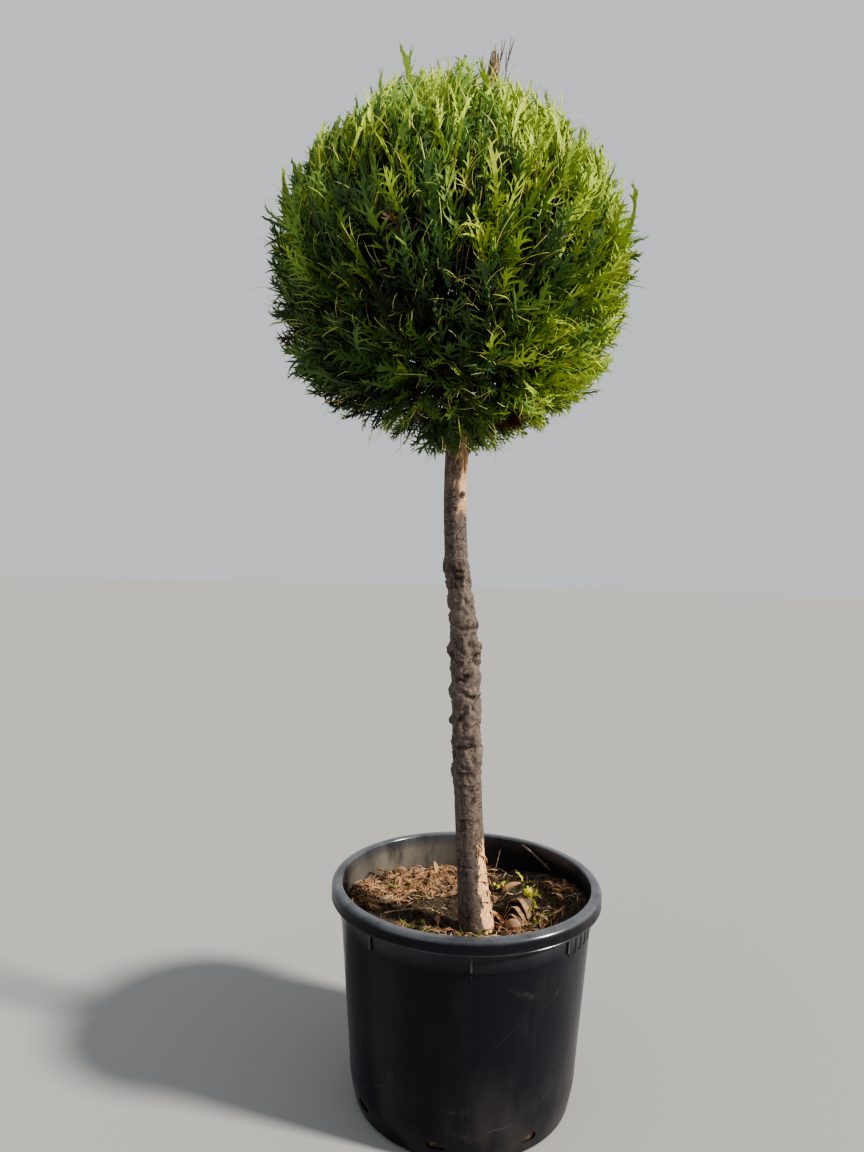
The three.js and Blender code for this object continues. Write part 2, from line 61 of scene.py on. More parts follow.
# Stem stations: height, centre x, centre y and radius, from the flat cut at the soil to the tip.
STEM = MM * np.array([
    (256, 16.5, -50, 26), (295, 11.5, -49, 24.4), (365, 4.6, -47, 21), (470, -3.1, -44, 19.4),
    (640, -11.2, -42, 18.8), (715, -16.4, -42, 17.8), (782, -25.8, -43, 16.5), (860, -30.3, -44, 16.1),
    (935, -30.9, -45, 15.8), (1100, -27, -47, 12.5), (1300, -9, -48, 9), (1440, 6, -46, 6.6),
    (1503, 9.5, -45, 2.8),
])
FLARE_HEIGHT, FLARE_LOBE, FLARE_LOBES, FLARE_TURN = 24 * MM, 3.6 * MM, 3, 25 * DEG
WRINKLE_FROM, WRINKLE_TO, WRINKLE_PITCH, WRINKLE_DEPTH = 480 * MM, 715 * MM, 33 * MM, 1.1 * MM

# Knots on the stem: height, turn from +X in degrees, how proud and how wide. A dent is negative.
KNOTS = (
    (890, -54, 3.2, 6), (787, 190, 2.6, 8), (779, -80, 3.4, 11), (705, -30, 4.4, 7),
    (672, -12, 6.2, 9), (667, 185, 3.8, 8), (652, -5, 4.6, 8), (636, -75, 2.6, 10),
    (624, 5, 3.2, 8), (610, 180, 2.6, 9), (588, -10, 3, 9), (568, 190, 3.4, 8),
    (545, -70, 3.6, 13), (521, -5, 3.4, 9), (493, 185, 2.4, 8), (646, 95, 4.2, 9),
    (560, 80, 3.8, 9), (742, 110, 3.4, 8), (379, -38, -4.2, 7),
)

# The clipped form: a ball with its own power for the upper and the lower half, and fuller places.
CROWN_CENTRE = MM * np.array((-43.0, -45.0, 1204.0))
CROWN_RADIUS, CROWN_ABOVE, CROWN_BELOW = 248 * MM, 250 * MM, 259 * MM
POWER_ABOVE, POWER_BELOW = 1.65, 1.92
CORE_SHARE = 0.83
UNEVEN = 5 * MM
BULGES = (  # turn and rise in degrees, how proud, and how far it spreads in degrees
    (180, -34, 17, 12), (2, -33, 9, 10), (180, 56, 16, 7), (0, 46, 11, 10),
    (0, 9, 9, 8), (95, -28, 10, 12), (120, 40, 10, 11),
)
SPRAY_SEED, SPRAY_COUNT, SPRAY_SINK, SPRAY_SWEEP, SPRAY_DROOP = 41, 262, 15 * MM, 15, 3
SPRAY_BEYOND, SPRAY_SHALLOW, SPRAY_ROLL = 1.06, 0.08, 75
LIMB_GAP = 2.6 * MM

# Tips of the shoots that outgrew the clipping, in millimetres.
WISPS = (
    (-131, -45, 1513), (-104, -55, 1506), (-145, -42, 1487), (-164, -50, 1456), (-42, -40, 1494),
    (32, -43, 1525), (19, -54, 1516), (67, -50, 1468), (105, -45, 1455), (147, -48, 1398),
    (-312, -45, 1289), (-313, -62, 1262), (-309, -38, 1178), (-301, -50, 1118), (234, -45, 1257),
    (226, -60, 1228), (-223, -45, 1010), (-176, -60, 976), (-124, -62, 950), (-72, -66, 946),
    (48, -60, 958), (93, -50, 990), (-70, 213, 1262), (64, 190, 1140), (-96, 120, 1424),
)
BARE_WISPS = (5, 6, 16)  # the ones that are only a twig

BOUGH_COUNT, BOUGH_TURN, BOUGH_FOOT, BOUGH_STAGGER = 6, 20 * DEG, 962 * MM, 9 * MM
BOUGH_REACH, BOUGH_RISE, BOUGH_RADIUS, BOUGH_TIP = 118 * MM, 112 * MM, 6.6 * MM, 3.8 * MM

POT_HEIGHT, RIM_RADIUS, RIM_DROP, WALL = 320 * MM, 200 * MM, 21 * MM, 3 * MM
TOP_RADIUS, SHOULDER_RADIUS, SHOULDER_HEIGHT = 187 * MM, 168.5 * MM, 58 * MM
CORNER_RADIUS, FOOT_ROUND, POT_FLOOR = 161 * MM, 9 * MM, 4 * MM
RIM_OUTER_ROUND, RIM_INNER_ROUND = 7 * MM, 3 * MM
LEDGE_HEIGHT, LEDGE_PROUD = 268 * MM, 1.2 * MM
GUSSETS, GUSSET_BOTTOM, GUSSET_PROUD, GUSSET_WIDTH = 8, 268 * MM, 4.5 * MM, 3.2 * MM
GRIPS, GRIP_FROM, GRIP_TO = 5, 47, 66
GRIP_BOTTOM, GRIP_PROUD, GRIP_WIDTH = 262 * MM, 2.2 * MM, 4.2 * MM
DRAINS, DRAIN_TURN, DRAIN_HEIGHT, DRAIN_LENGTH, DRAIN_WIDTH = 8, -14, 25 * MM, 26 * MM, 11 * MM

SOIL_LEVEL, SOIL_SLOPE, SOIL_DISH, DISH_RADIUS = 263 * MM, 0.035, 20 * MM, 170 * MM
FRONT_RISE, SOIL_LUMP = 0.0125, 2.4 * MM
STUB_SAWN, STUB_BACK = MM * np.array((66.0, -62.0, 275.0)), MM * np.array((86.0, 6.0, 283.0))
STUB_SAWN_RADIUS, STUB_BACK_RADIUS, STUB_FLATTEN = 14 * MM, 23 * MM, 0.82

# The camera's place, its pitch and roll, and its focal length for 36 mm on the picture's long side.
CAMERA_PLACE, CAMERA_PITCH, CAMERA_ROLL = (-0.0613, -1.205, 0.8165), 2.178 * DEG, 1.318 * DEG
CAMERA_LENS, CAMERA_SENSOR = 25.47, 36
LIGHT_AIM = (0.0, 0.0, 0.85)  # the place that the lights are turned to


def colour(name, description, value):
    return bpy.props.FloatVectorProperty(
        name=name, description=description, subtype="COLOR", size=3, min=0, max=1, default=value
    )


def whole(name, description, default):
    return bpy.props.IntProperty(name=name, description=description, default=default)


def number(name, description, default, **more):
    return bpy.props.FloatProperty(name=name, description=description, default=default, **more)


class FoliageSettings(bpy.types.PropertyGroup):
    """Numbers and colours of the clipped crown."""

    outer: whole("Outer fronds", "Fronds at the clipped face", 1200)
    behind: whole("Fronds behind", "Fronds just behind the face", 900)
    inside: whole("Fronds inside", "Sparse fronds deep inside", 520)
    branches: whole("Branches", "Branches above the boughs", 66)
    # The tones from shade to bright are dealt out over the ball as painted light and shade: darkest inside
    # and low down, brightest at the sunlit top and right.
    shade: colour("Shade", "Fronds deep inside", (0.018, 0.025, 0.012))
    deep: colour("Deep", "Fronds low on the ball", (0.056, 0.098, 0.037))
    middle: colour("Middle", "Fronds over most of the ball", (0.074, 0.142, 0.036))
    fresh: colour("Fresh", "Fronds towards the top", (0.145, 0.243, 0.048))
    bright: colour("Bright", "Young ends of fronds", (0.340, 0.440, 0.070))
    pale: colour("Pale", "Palest young tips", (0.630, 0.630, 0.165))
    dead: colour("Dead", "Dried fronds", (0.085, 0.046, 0.020))
    straw: colour("Straw", "Dried tips", (0.340, 0.240, 0.095))


class WoodSettings(bpy.types.PropertyGroup):
    """Colours of the stem, the twigs and the stub."""

    bark: colour("Bark", "Grey-brown of the stem", (0.074, 0.054, 0.044))
    # This paler tone is weathered bark, and is also painted on the ridges of the relief as a sheen.
    weathered_and_sheen: colour("Weathered", "Paler ridges of the bark", (0.128, 0.102, 0.088))
    # This dark is the colour of knots and grooves, and is also painted as shade in the hollows and creases.
    groove_and_shade: colour("Groove", "Dark of knots and grooves", (0.022, 0.013, 0.009))
    # A pale peeled layer, also painted as sunlight on the stem's right side.
    peel_and_sunlight: colour("Peel", "Bark peeled to a pale layer", (0.740, 0.430, 0.220))
    upper: colour("Upper", "Smooth warm bark under the crown", (0.205, 0.135, 0.098))
    twig: colour("Twig", "Brown of the inner twigs", (0.080, 0.045, 0.026))
    grey_twig: colour("Grey twig", "Bare twigs that stand out", (0.170, 0.135, 0.110))
    leader: colour("Leader", "Dead tan tip of the stem", (0.430, 0.310, 0.165))
    sawn: colour("Sawn", "Cut face of the stub", (0.350, 0.215, 0.115))


class PotSettings(bpy.types.PropertyGroup):
    """Finish of the pot and colours of what it holds."""

    steps: whole("Steps", "Faces round the pot", 144)
    plastic: colour("Plastic", "Blue-black of the pot", (0.0074, 0.0074, 0.0112))
    # The rim's blue-grey is a painted sheen where the rim catches the light.
    sheen_tint: colour("Worn", "Blue-grey bloom on the rim", (0.082, 0.088, 0.100))
    dust: colour("Dust", "Dried dust on the pot", (0.140, 0.125, 0.105))
    soil: colour("Soil", "Dark potting soil", (0.040, 0.029, 0.019))
    crumb: colour("Crumb", "Dry crumbs of soil", (0.110, 0.074, 0.048))
    litter: colour("Litter", "Dry scale sprays on the soil", (0.310, 0.180, 0.100))
    husk: colour("Husk", "Bleached dry sprays", (0.430, 0.330, 0.225))
    red: colour("Red", "Fresh-broken reddish bark", (0.330, 0.135, 0.060))
    moss: colour("Moss", "Green bits on the soil", (0.080, 0.115, 0.018))
    sprout: colour("Sprout", "Yellow-green sprout and lichen", (0.560, 0.560, 0.080))


class StageSettings(bpy.types.PropertyGroup):
    """The floor and the lights."""

    floor: colour("Floor", "Plain pale floor", (0.30, 0.30, 0.297))
    key: number("Key light", "Strength of the key", 8.0)
    softness: number("Softness", "Width of the key", 7 * DEG, unit="ROTATION")
    fill: number("Fill light", "Power of the fill", 17, unit="POWER")
    surround: number("Surround", "Strength of the pale surround", 0.62)


def seeded(seed):
    """Random numbers from 0 to 1, the same as the solids' rule draws."""
    state = seed & 0xFFFFFFFF

    def draw():
        nonlocal state
        state = (state + 0x6D2B79F5) & 0xFFFFFFFF
        mix = ((state ^ (state >> 15)) * (state | 1)) & 0xFFFFFFFF
        mix ^= (mix + (((mix ^ (mix >> 7)) * (mix | 61)) & 0xFFFFFFFF)) & 0xFFFFFFFF
        return ((mix ^ (mix >> 14)) & 0xFFFFFFFF) / 4294967296

    return draw


def smooth_step(value, low, high):
    t = np.clip((value - low) / (high - low), 0, 1)
    return t * t * (3 - 2 * t)


def unit(vector):
    vector = np.asarray(vector, float)
    return vector / np.maximum(np.linalg.norm(vector, axis=-1, keepdims=True), 1e-12)


def mm(*numbers):
    """Millimetres as an array in metres."""
    return np.array(numbers) * MM


def outward(turn, rise=0.0):
    """A level step of length 1 away from the axis at a turn, with a rise."""
    return np.array((math.cos(turn), math.sin(turn), rise))


def noise_at(points, size, octaves=3):
    """Smooth random values of about -1 to 1 at points, with lumps of a given size."""
    return np.array([noise.fractal(Vector(p), 0.7, 2.1, octaves) for p in np.asarray(points) / size])


def stem_at(z):
    """Centre and radius of the stem at heights z, by a smooth curve through the stations."""
    z = np.clip(np.asarray(z, float), STEM[0, 0], STEM[-1, 0])
    last = len(STEM) - 1
    i = np.clip(np.searchsorted(STEM[:, 0], z) - 1, 0, last - 1)
    a, b = STEM[i], STEM[i + 1]
    before, after = STEM[np.maximum(i - 1, 0)], STEM[np.minimum(i + 2, last)]
    span = (b - a)[..., :1]
    t = (z - a[..., 0])[..., None] / span
    slope_a = (b - before) / (b - before)[..., :1] * span
    slope_b = (after - a) / (after - a)[..., :1] * span
    value = (
        (2 * t**3 - 3 * t**2 + 1) * a + (t**3 - 2 * t**2 + t) * slope_a
        + (3 * t**2 - 2 * t**3) * b + (t**3 - t**2) * slope_b
    )
    return np.stack([value[..., 1], value[..., 2], z], -1), value[..., 3]


def knot_distances(z, turn, radius):
    """For each knot: how proud it is and how far each point is from it, in knot sizes."""
    for height, knot_turn, proud, size in KNOTS:
        away = np.angle(np.exp(1j * (turn - knot_turn * DEG)))
        across, along = away * radius / (size * MM), (z - height * MM) / (size * MM)
        yield proud * MM, np.hypot(across, along)


def stem_radius(z, turn):
    """Outer radius of the stem, with its flare, wrinkles and knots."""
    _, radius = stem_at(z)
    lobe = 0.5 + 0.5 * np.cos(FLARE_LOBES * (turn - FLARE_TURN))
    radius = radius + FLARE_LOBE * lobe * np.exp(-(z - STEM[0, 0]) / FLARE_HEIGHT)
    inside = smooth_step(z, WRINKLE_FROM, WRINKLE_FROM + 60 * MM)
    inside = inside * (1 - smooth_step(z, WRINKLE_TO - 40 * MM, WRINKLE_TO))
    wave = np.sin(z / WRINKLE_PITCH * math.tau + 1.6 * np.sin(turn * 2))
    radius = radius + WRINKLE_DEPTH * inside * wave
    for proud, distance in knot_distances(z, turn, radius):
        radius = radius + proud * np.exp(-(distance**2))
    return radius


def crown_reach(directions):
    """How far the clipped form reaches from its centre in each direction."""
    x, y, z = np.atleast_2d(directions).T
    power = np.where(z >= 0, POWER_ABOVE, POWER_BELOW)
    half = np.where(z >= 0, CROWN_ABOVE, CROWN_BELOW)
    total = (np.hypot(x, y) / CROWN_RADIUS) ** power + (np.abs(z) / half) ** power
    reach = total ** (-1 / power)
    for turn, rise, proud, spread in BULGES:
        turn, rise = turn * DEG, rise * DEG
        level = math.cos(rise)
        nearness = x * level * math.cos(turn) + y * level * math.sin(turn) + z * math.sin(rise)
        away = np.arccos(np.clip(nearness, -1, 1)) / (spread * DEG)
        reach += proud * MM * np.exp(-(away**2))
    return reach + UNEVEN / 2 * (np.sin(7 * x + 2) + np.sin(8 * y + 9 * z) + np.sin(11 * z - 5 * x))


def crown_point(direction, share):
    return CROWN_CENTRE + direction * crown_reach(direction)[0] * share


def spiral_direction(i, count, draw):
    """Direction number i of many, even over the ball on a spiral and shifted a little at random."""
    shift = 0.8 / math.sqrt(count)
    z = min(max(1 - 2 * (i + 0.5) / count + (draw() - 0.5) * shift, -0.999), 0.999)
    level = math.sqrt(1 - z * z)
    turn = i * GOLDEN_TURN + (draw() - 0.5) * shift * 2 / level
    return outward(turn, z) * (level, level, 1)


def lowered(direction, degrees):
    """The same direction turned down towards the foot of the crown."""
    level = math.hypot(direction[0], direction[1])
    if level < 1e-3:
        return direction
    rise = math.atan2(direction[2], level) - degrees * DEG
    out = direction[:2] / level
    return np.array((out[0] * math.cos(rise), out[1] * math.cos(rise), math.sin(rise)))


def bough_line(i, steps=16):
    """Points along bough number i and its radius at each."""
    out = outward(BOUGH_TURN + i * math.tau / BOUGH_COUNT)
    start = stem_at(BOUGH_FOOT + BOUGH_STAGGER * (i % 3))[0]
    up = np.array((0, 0, BOUGH_RISE))
    middle = start + out * BOUGH_REACH * 0.62 + up * 0.22
    end = start + out * BOUGH_REACH + up
    return curve_points(start, middle, end, steps), np.linspace(BOUGH_RADIUS, BOUGH_TIP, steps + 1)


def curve_points(start, middle, end, steps):
    t = np.linspace(0, 1, steps + 1)[:, None]
    return start * (1 - t) ** 2 + middle * 2 * t * (1 - t) + end * t**2


def spray_rule(count, seed, beyond, shallow, root_share, sink, sweep, droop, turning=(-0.2001, -0.2)):
    """Sprays over the ball by one seeded rule: root, tip and roll. Two draws are for the solids alone."""
    draw = seeded(seed)
    rows = []
    for i in range(count):
        direction = spiral_direction(i, count, draw)
        tip = crown_point(direction, beyond - shallow * draw())
        lower = droop + (sweep - droop) * float(smooth_step(direction[2], *turning))
        start = lowered(direction, lower * (0.6 + 0.8 * draw()))
        root = crown_point(start, root_share) - start * sink
        draw()
        roll = (draw() - 0.5) * 2 * SPRAY_ROLL * DEG
        draw()
        rows.append((root, tip, roll))
    return rows


def clear_of_stem(root, tip):
    """True where a spray keeps the limbs' gap from the stem all along its length."""
    points = root + (tip - root) * np.linspace(0, 1, 6)[:, None]
    centre, radius = stem_at(points[:, 2])
    return bool(np.all(np.linalg.norm(points - centre, axis=1) > radius + LIMB_GAP))


def frond_template(seed, claws, longest, girth, spread, forks):
    """A flat frond one unit long, as closed pointed claws: its points, faces and the tone of each face."""
    draw = seeded(seed)
    points = []
    faces = []
    tones = []

    def claw(x, y, heading, length, widths, curl, lift):
        """Rings of a left, a right and a ridge point, drawn to one tip. Gives the places of the rings."""
        first = len(points)
        joints = len(widths)
        places = []
        for width in widths:
            ahead_x, ahead_y = math.sin(heading), math.cos(heading)
            half = width / 2
            for across, rise in ((-half, -0.25 * half), (half, -0.25 * half), (0, 0.5 * half)):
                points.append((x + ahead_y * across, y - ahead_x * across, lift + rise))
            places.append((x, y, heading))
            x += ahead_x * length / joints
            y += ahead_y * length / joints
            heading += curl / joints
        points.append((x, y, lift))
        faces.append((first, first + 1, first + 2))
        for joint in range(joints - 1):
            ring = first + 3 * joint
            for a, b in ((ring, ring + 1), (ring + 1, ring + 2), (ring + 2, ring)):
                faces.extend(((a, a + 3, b + 3), (a, b + 3, b)))
        ring = first + 3 * (joints - 1)
        faces.extend(((ring, ring + 3, ring + 1), (ring + 1, ring + 3, ring + 2), (ring + 2, ring + 3, ring)))
        # Outer claws and tips take the paler tones: partly young growth, partly painted highlight.
        young = int(draw() < 0.25 + y * 0.6)
        pale = 6 * int(joints < 4 and draw() < 0.45)
        tones.extend([young] * (1 + 6 * (joints - 1) - pale) + [1] * pale + [2 if draw() < 0.85 else 1] * 3)
        return places + [(x, y, heading)]

    blade = girth * np.array(STALK_WIDTHS)
    stalk = np.array(claw(0, -0.02, 0.1 * (draw() - 0.5), 1.0, blade, 0.5 * (draw() - 0.5), 0))
    for i in range(2 * claws):
        share = (i + 0.2 + 0.6 * draw()) / (2 * claws)
        hand = 1 if i % 2 else -1
        along = (0.10 + 0.82 * share) * 6
        x, y, heading = (np.interp(along, range(7), stalk[:, axis]) for axis in range(3))
        fullness = math.sin(math.pi * (0.22 + 0.70 * share)) ** 0.8
        length = longest * fullness * (0.7 + 0.6 * draw())
        heading += hand * (spread - 0.3 * spread * share + 14 * (draw() - 0.5)) * DEG
        curl = -hand * (0.6 + 1.2 * draw()) if draw() < 0.6 else hand * (0.3 + 0.9 * draw())
        lift = 0.05 * (draw() - 0.5)
        width = girth * (0.8 + 0.4 * draw())
        if draw() < 0.15:
            length, width = length * 1.5, width * 0.6
        widths = width * np.array((1.3, 0.95, 0.6) if length > 0.13 else (1.2, 0.7))
        places = claw(x, y, heading, length, widths, curl, lift)
        for fork in range(forks):
            if draw() < 0.35 or length < 0.12:
                continue
            x, y, heading = places[1 + fork % (len(widths) - 1)]
            side = hand if fork % 2 else -hand
            turn = heading + side * (34 + 16 * draw()) * DEG
            reach = length * (0.35 + 0.25 * draw())
            claw(x, y, turn, reach, width * np.array((0.8, 0.55)), -side * 0.8 * draw(), lift)
    return np.array(points), np.array(faces), np.array(tones)


def frames_for(root, tip, roll):
    """Length and the three directions of each frond: ahead, to its side and off its flat face."""
    ahead = tip - root
    length = np.linalg.norm(ahead, axis=1)
    ahead = ahead / length[:, None]
    level = unit(np.stack([-ahead[:, 1], ahead[:, 0] + TINY, np.zeros(len(ahead))], 1))
    side = level * np.cos(roll)[:, None] + np.cross(ahead, level) * np.sin(roll)[:, None]
    return length, ahead, side, np.cross(ahead, side)


def placed_fronds(template, rows):
    """The template at each row's place. A row is root, tip, roll, width, bow, sway and twist."""
    points, faces, tones = template
    rows = np.array([np.hstack(row) for row in rows])
    length, ahead, side, flat = frames_for(rows[:, 0:3], rows[:, 3:6], rows[:, 6])
    width, bow, sway, twist = rows[:, 7:11].T[:, :, None]
    x, y, z = points.T[:, None, :]
    turn = twist * y
    arch = 4 * y * (1 - y)
    across = x * width * np.cos(turn) - z * np.sin(turn) + sway * arch
    off = x * width * np.sin(turn) + z * np.cos(turn) + bow * arch + 0.25 * bow * (x * width) ** 2
    placed = rows[:, None, 0:3] + length[:, None, None] * (
        across[:, :, None] * side[:, None, :]
        + (y + 0 * across)[:, :, None] * ahead[:, None, :]
        + off[:, :, None] * flat[:, None, :]
    )
    faces = faces[None] + (np.arange(len(rows)) * len(points))[:, None, None]
    return placed.reshape(-1, 3), faces.reshape(-1, 3), np.tile(tones, len(rows))


def tubes(lines, radii, sides):
    """Closed tubes round lines of points, as many on each. The radii are for all lines or for each."""
    lines = np.asarray(lines)
    count, rings = lines.shape[:2]
    radii = np.broadcast_to(radii, (count, rings))
    ahead = unit(np.gradient(lines, axis=1))
    across = unit(np.cross(ahead, (0.13, 0.07, 1)))
    over = np.cross(ahead, across)
    turn = np.arange(sides)[:, None] * math.tau / sides
    around = np.cos(turn) * across[:, :, None, :] + np.sin(turn) * over[:, :, None, :]
    points = lines[:, :, None, :] + radii[:, :, None, None] * around
    a = (np.arange(rings - 1)[:, None] * sides + np.arange(sides)).ravel()
    b = (np.arange(rings - 1)[:, None] * sides + (np.arange(sides) + 1) % sides).ravel()
    j = np.arange(1, sides - 1)
    last = (rings - 1) * sides
    caps = (0 * j, j + 1, j), (0 * j + last, last + j, last + j + 1)
    corners = (a, b, b + sides), (a, b + sides, a + sides), *caps
    one = np.vstack([np.stack(corner, 1) for corner in corners])
    faces = one[None] + (np.arange(count) * rings * sides)[:, None, None]
    return points.reshape(-1, 3), faces.reshape(-1, 3), np.zeros(count * len(one), int)


def joined(parts):
    """Several sets of points, faces and tones as one."""
    points, faces, tones = zip(*parts)
    starts = np.cumsum([0, *map(len, points[:-1])])
    return np.vstack(points), np.vstack([f + start for f, start in zip(faces, starts)]), np.concatenate(tones)


def piece_from(name, arrays, materials, slot, smooth=False, replaces=()):
    """A piece made as one joined mesh from arrays of points, triangles and tones."""
    points, faces, tones = arrays
    mesh = bpy.data.meshes.new(name)
    for part, count in ((mesh.vertices, len(points)), (mesh.loops, faces.size), (mesh.polygons, len(faces))):
        part.add(count)
    for part, key, values in (
        (mesh.vertices, "co", points.astype(np.float32).ravel()),
        (mesh.loops, "vertex_index", faces.astype(np.int32).ravel()),
        (mesh.polygons, "loop_start", np.arange(0, faces.size, 3, dtype=np.int32)),
        (mesh.polygons, "material_index", tones.astype(np.int32)),
        (mesh.polygons, "use_smooth", np.full(len(faces), smooth)),
    ):
        part.foreach_set(key, values)
    mesh.update(calc_edges=True)
    piece = bpy.data.objects.new(name, mesh)
    bpy.context.scene.collection.objects.link(piece)
    settled(piece, materials, slot, replaces)


def settled(piece, materials, slot, replaces=()):
    """Gives a finished piece its materials and its body, and hides the nodes that it stands for. The slot is
    not used.
    """
    piece.data.materials.clear()
    for material in materials:
        piece.data.materials.append(material)
    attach(piece, "root")
    if replaces:
        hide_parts(*replaces)


def deselect():
    bpy.ops.object.select_all(action="DESELECT")


def started(name):
    """Names the primitive that was just added and puts its place in its mesh."""
    piece = bpy.context.active_object
    piece.name = name
    piece.data.name = name
    bpy.ops.object.transform_apply(location=True, rotation=True, scale=True)
    return piece


@contextmanager
def edit_mode(piece):
    """Edit mode on one piece, and object mode again afterwards."""
    bpy.context.view_layer.objects.active = piece
    bpy.ops.object.mode_set(mode="EDIT")
    yield
    bpy.ops.object.mode_set(mode="OBJECT")


def select_edges(piece, wanted):
    """Selects the edges whose ends pass a test on their coordinates, and nothing else."""
    mesh = piece.data
    ends = np.empty(len(mesh.edges) * 2, np.int32)
    mesh.edges.foreach_get("vertices", ends)
    first, second = coordinates(piece)[ends.reshape(-1, 2)].transpose(1, 0, 2)
    for part in (mesh.vertices, mesh.polygons):
        part.foreach_set("select", np.zeros(len(part), bool))
    mesh.edges.foreach_set("select", wanted(first, second))


def coordinates(piece):
    co = np.empty(len(piece.data.vertices) * 3)
    piece.data.vertices.foreach_get("co", co)
    return co.reshape(-1, 3)


def set_coordinates(piece, co):
    piece.data.vertices.foreach_set("co", co.astype(np.float32).ravel())
    piece.data.update()


def add_mask(piece, name, values):
    """A number from 0 to 1 at each vertex, for the materials to read."""
    attribute = piece.data.attributes.new(name, "FLOAT", "POINT")
    attribute.data.foreach_set("value", np.clip(values, 0, 1).astype(np.float32))


def column(name, sides, stages):
    """A closed column of radius 1. A stage is its low and high level, its bands and the cuts in each."""
    levels = [stages[0][0]]
    for low, high, bands, _ in stages:
        levels += [low + (high - low) * (i + 1) / bands for i in range(bands)]
    deselect()
    bpy.ops.mesh.primitive_circle_add(vertices=sides, radius=1, fill_type="NGON", location=(0, 0, levels[0]))
    piece = started(name)
    with edit_mode(piece):
        bpy.ops.mesh.select_all(action="SELECT")
        for lower, upper in zip(levels, levels[1:]):
            bpy.ops.mesh.extrude_region_move(TRANSFORM_OT_translate={"value": (0, 0, upper - lower)})
        bpy.ops.mesh.select_mode(type="EDGE")
    for low, high, _, cuts in stages:
        select_edges(piece, lambda a, b: (np.abs(a - b)[:, 2] > TINY)
                     & (np.minimum(a, b)[:, 2] > low - TINY) & (np.maximum(a, b)[:, 2] < high + TINY))
        with edit_mode(piece):
            bpy.ops.mesh.subdivide(number_cuts=cuts)
    point_outwards(piece)
    return piece


def point_outwards(piece):
    with edit_mode(piece):
        bpy.ops.mesh.select_mode(type="VERT")
        bpy.ops.mesh.select_all(action="SELECT")
        bpy.ops.mesh.remove_doubles(threshold=TINY)
        bpy.ops.mesh.normals_make_consistent(inside=False)


def lathe(name, profile, steps):
    """A profile of radius and height, from the axis and back to it, spun round the Z axis."""
    deselect()
    bpy.ops.mesh.primitive_plane_add(size=0.01, location=(profile[0][0], 0, profile[0][1]))
    piece = started(name)
    with edit_mode(piece):
        bpy.ops.mesh.select_mode(type="VERT")
        bpy.ops.mesh.select_all(action="SELECT")
        bpy.ops.mesh.merge(type="CENTER")
        for before, after in zip(profile, profile[1:]):
            move = (after[0] - before[0], 0, after[1] - before[1])
            bpy.ops.mesh.extrude_vertices_move(TRANSFORM_OT_translate={"value": move})
        bpy.ops.mesh.select_all(action="SELECT")
        bpy.ops.mesh.spin(steps=steps, angle=math.tau, center=(0, 0, 0), axis=(0, 0, 1))
    point_outwards(piece)
    return piece


def arc(r, z, radius, start, end, steps):
    """Points of an arc in a profile, with its angles in degrees."""
    turns = np.linspace(start, end, steps + 1) * DEG
    return [(r + radius * math.cos(turn), z + radius * math.sin(turn)) for turn in turns]


def wall_radius(z):
    share = (z - SHOULDER_HEIGHT) / (POT_HEIGHT - RIM_DROP - SHOULDER_HEIGHT)
    return SHOULDER_RADIUS + (TOP_RADIUS - SHOULDER_RADIUS) * share


def foot_profile(inset, steps=10):
    """The pot's outside from the edge of its underside up to the shoulder, moved in by inset."""
    points = arc(CORNER_RADIUS - FOOT_ROUND, FOOT_ROUND, FOOT_ROUND - inset, -90, -8, steps)
    for i in range(steps):
        share = (i + 1) / steps
        radius = CORNER_RADIUS + (SHOULDER_RADIUS - CORNER_RADIUS) * math.sin(share * math.pi / 2)
        points.append((radius - inset, FOOT_ROUND + (SHOULDER_HEIGHT - FOOT_ROUND) * share))
    return points


def soil_height(x, y):
    lumps = np.sin(x / 0.013 + 1.3 * np.sin(y / 0.029)) + np.sin(y / 0.017 + 1.7 * np.sin(x / 0.023))
    dish = SOIL_DISH * (x / DISH_RADIUS) ** 2
    return SOIL_LEVEL + SOIL_SLOPE * x + dish - FRONT_RISE * y + SOIL_LUMP / 2 * lumps


GROUPS = {}  # the shared node groups, by name


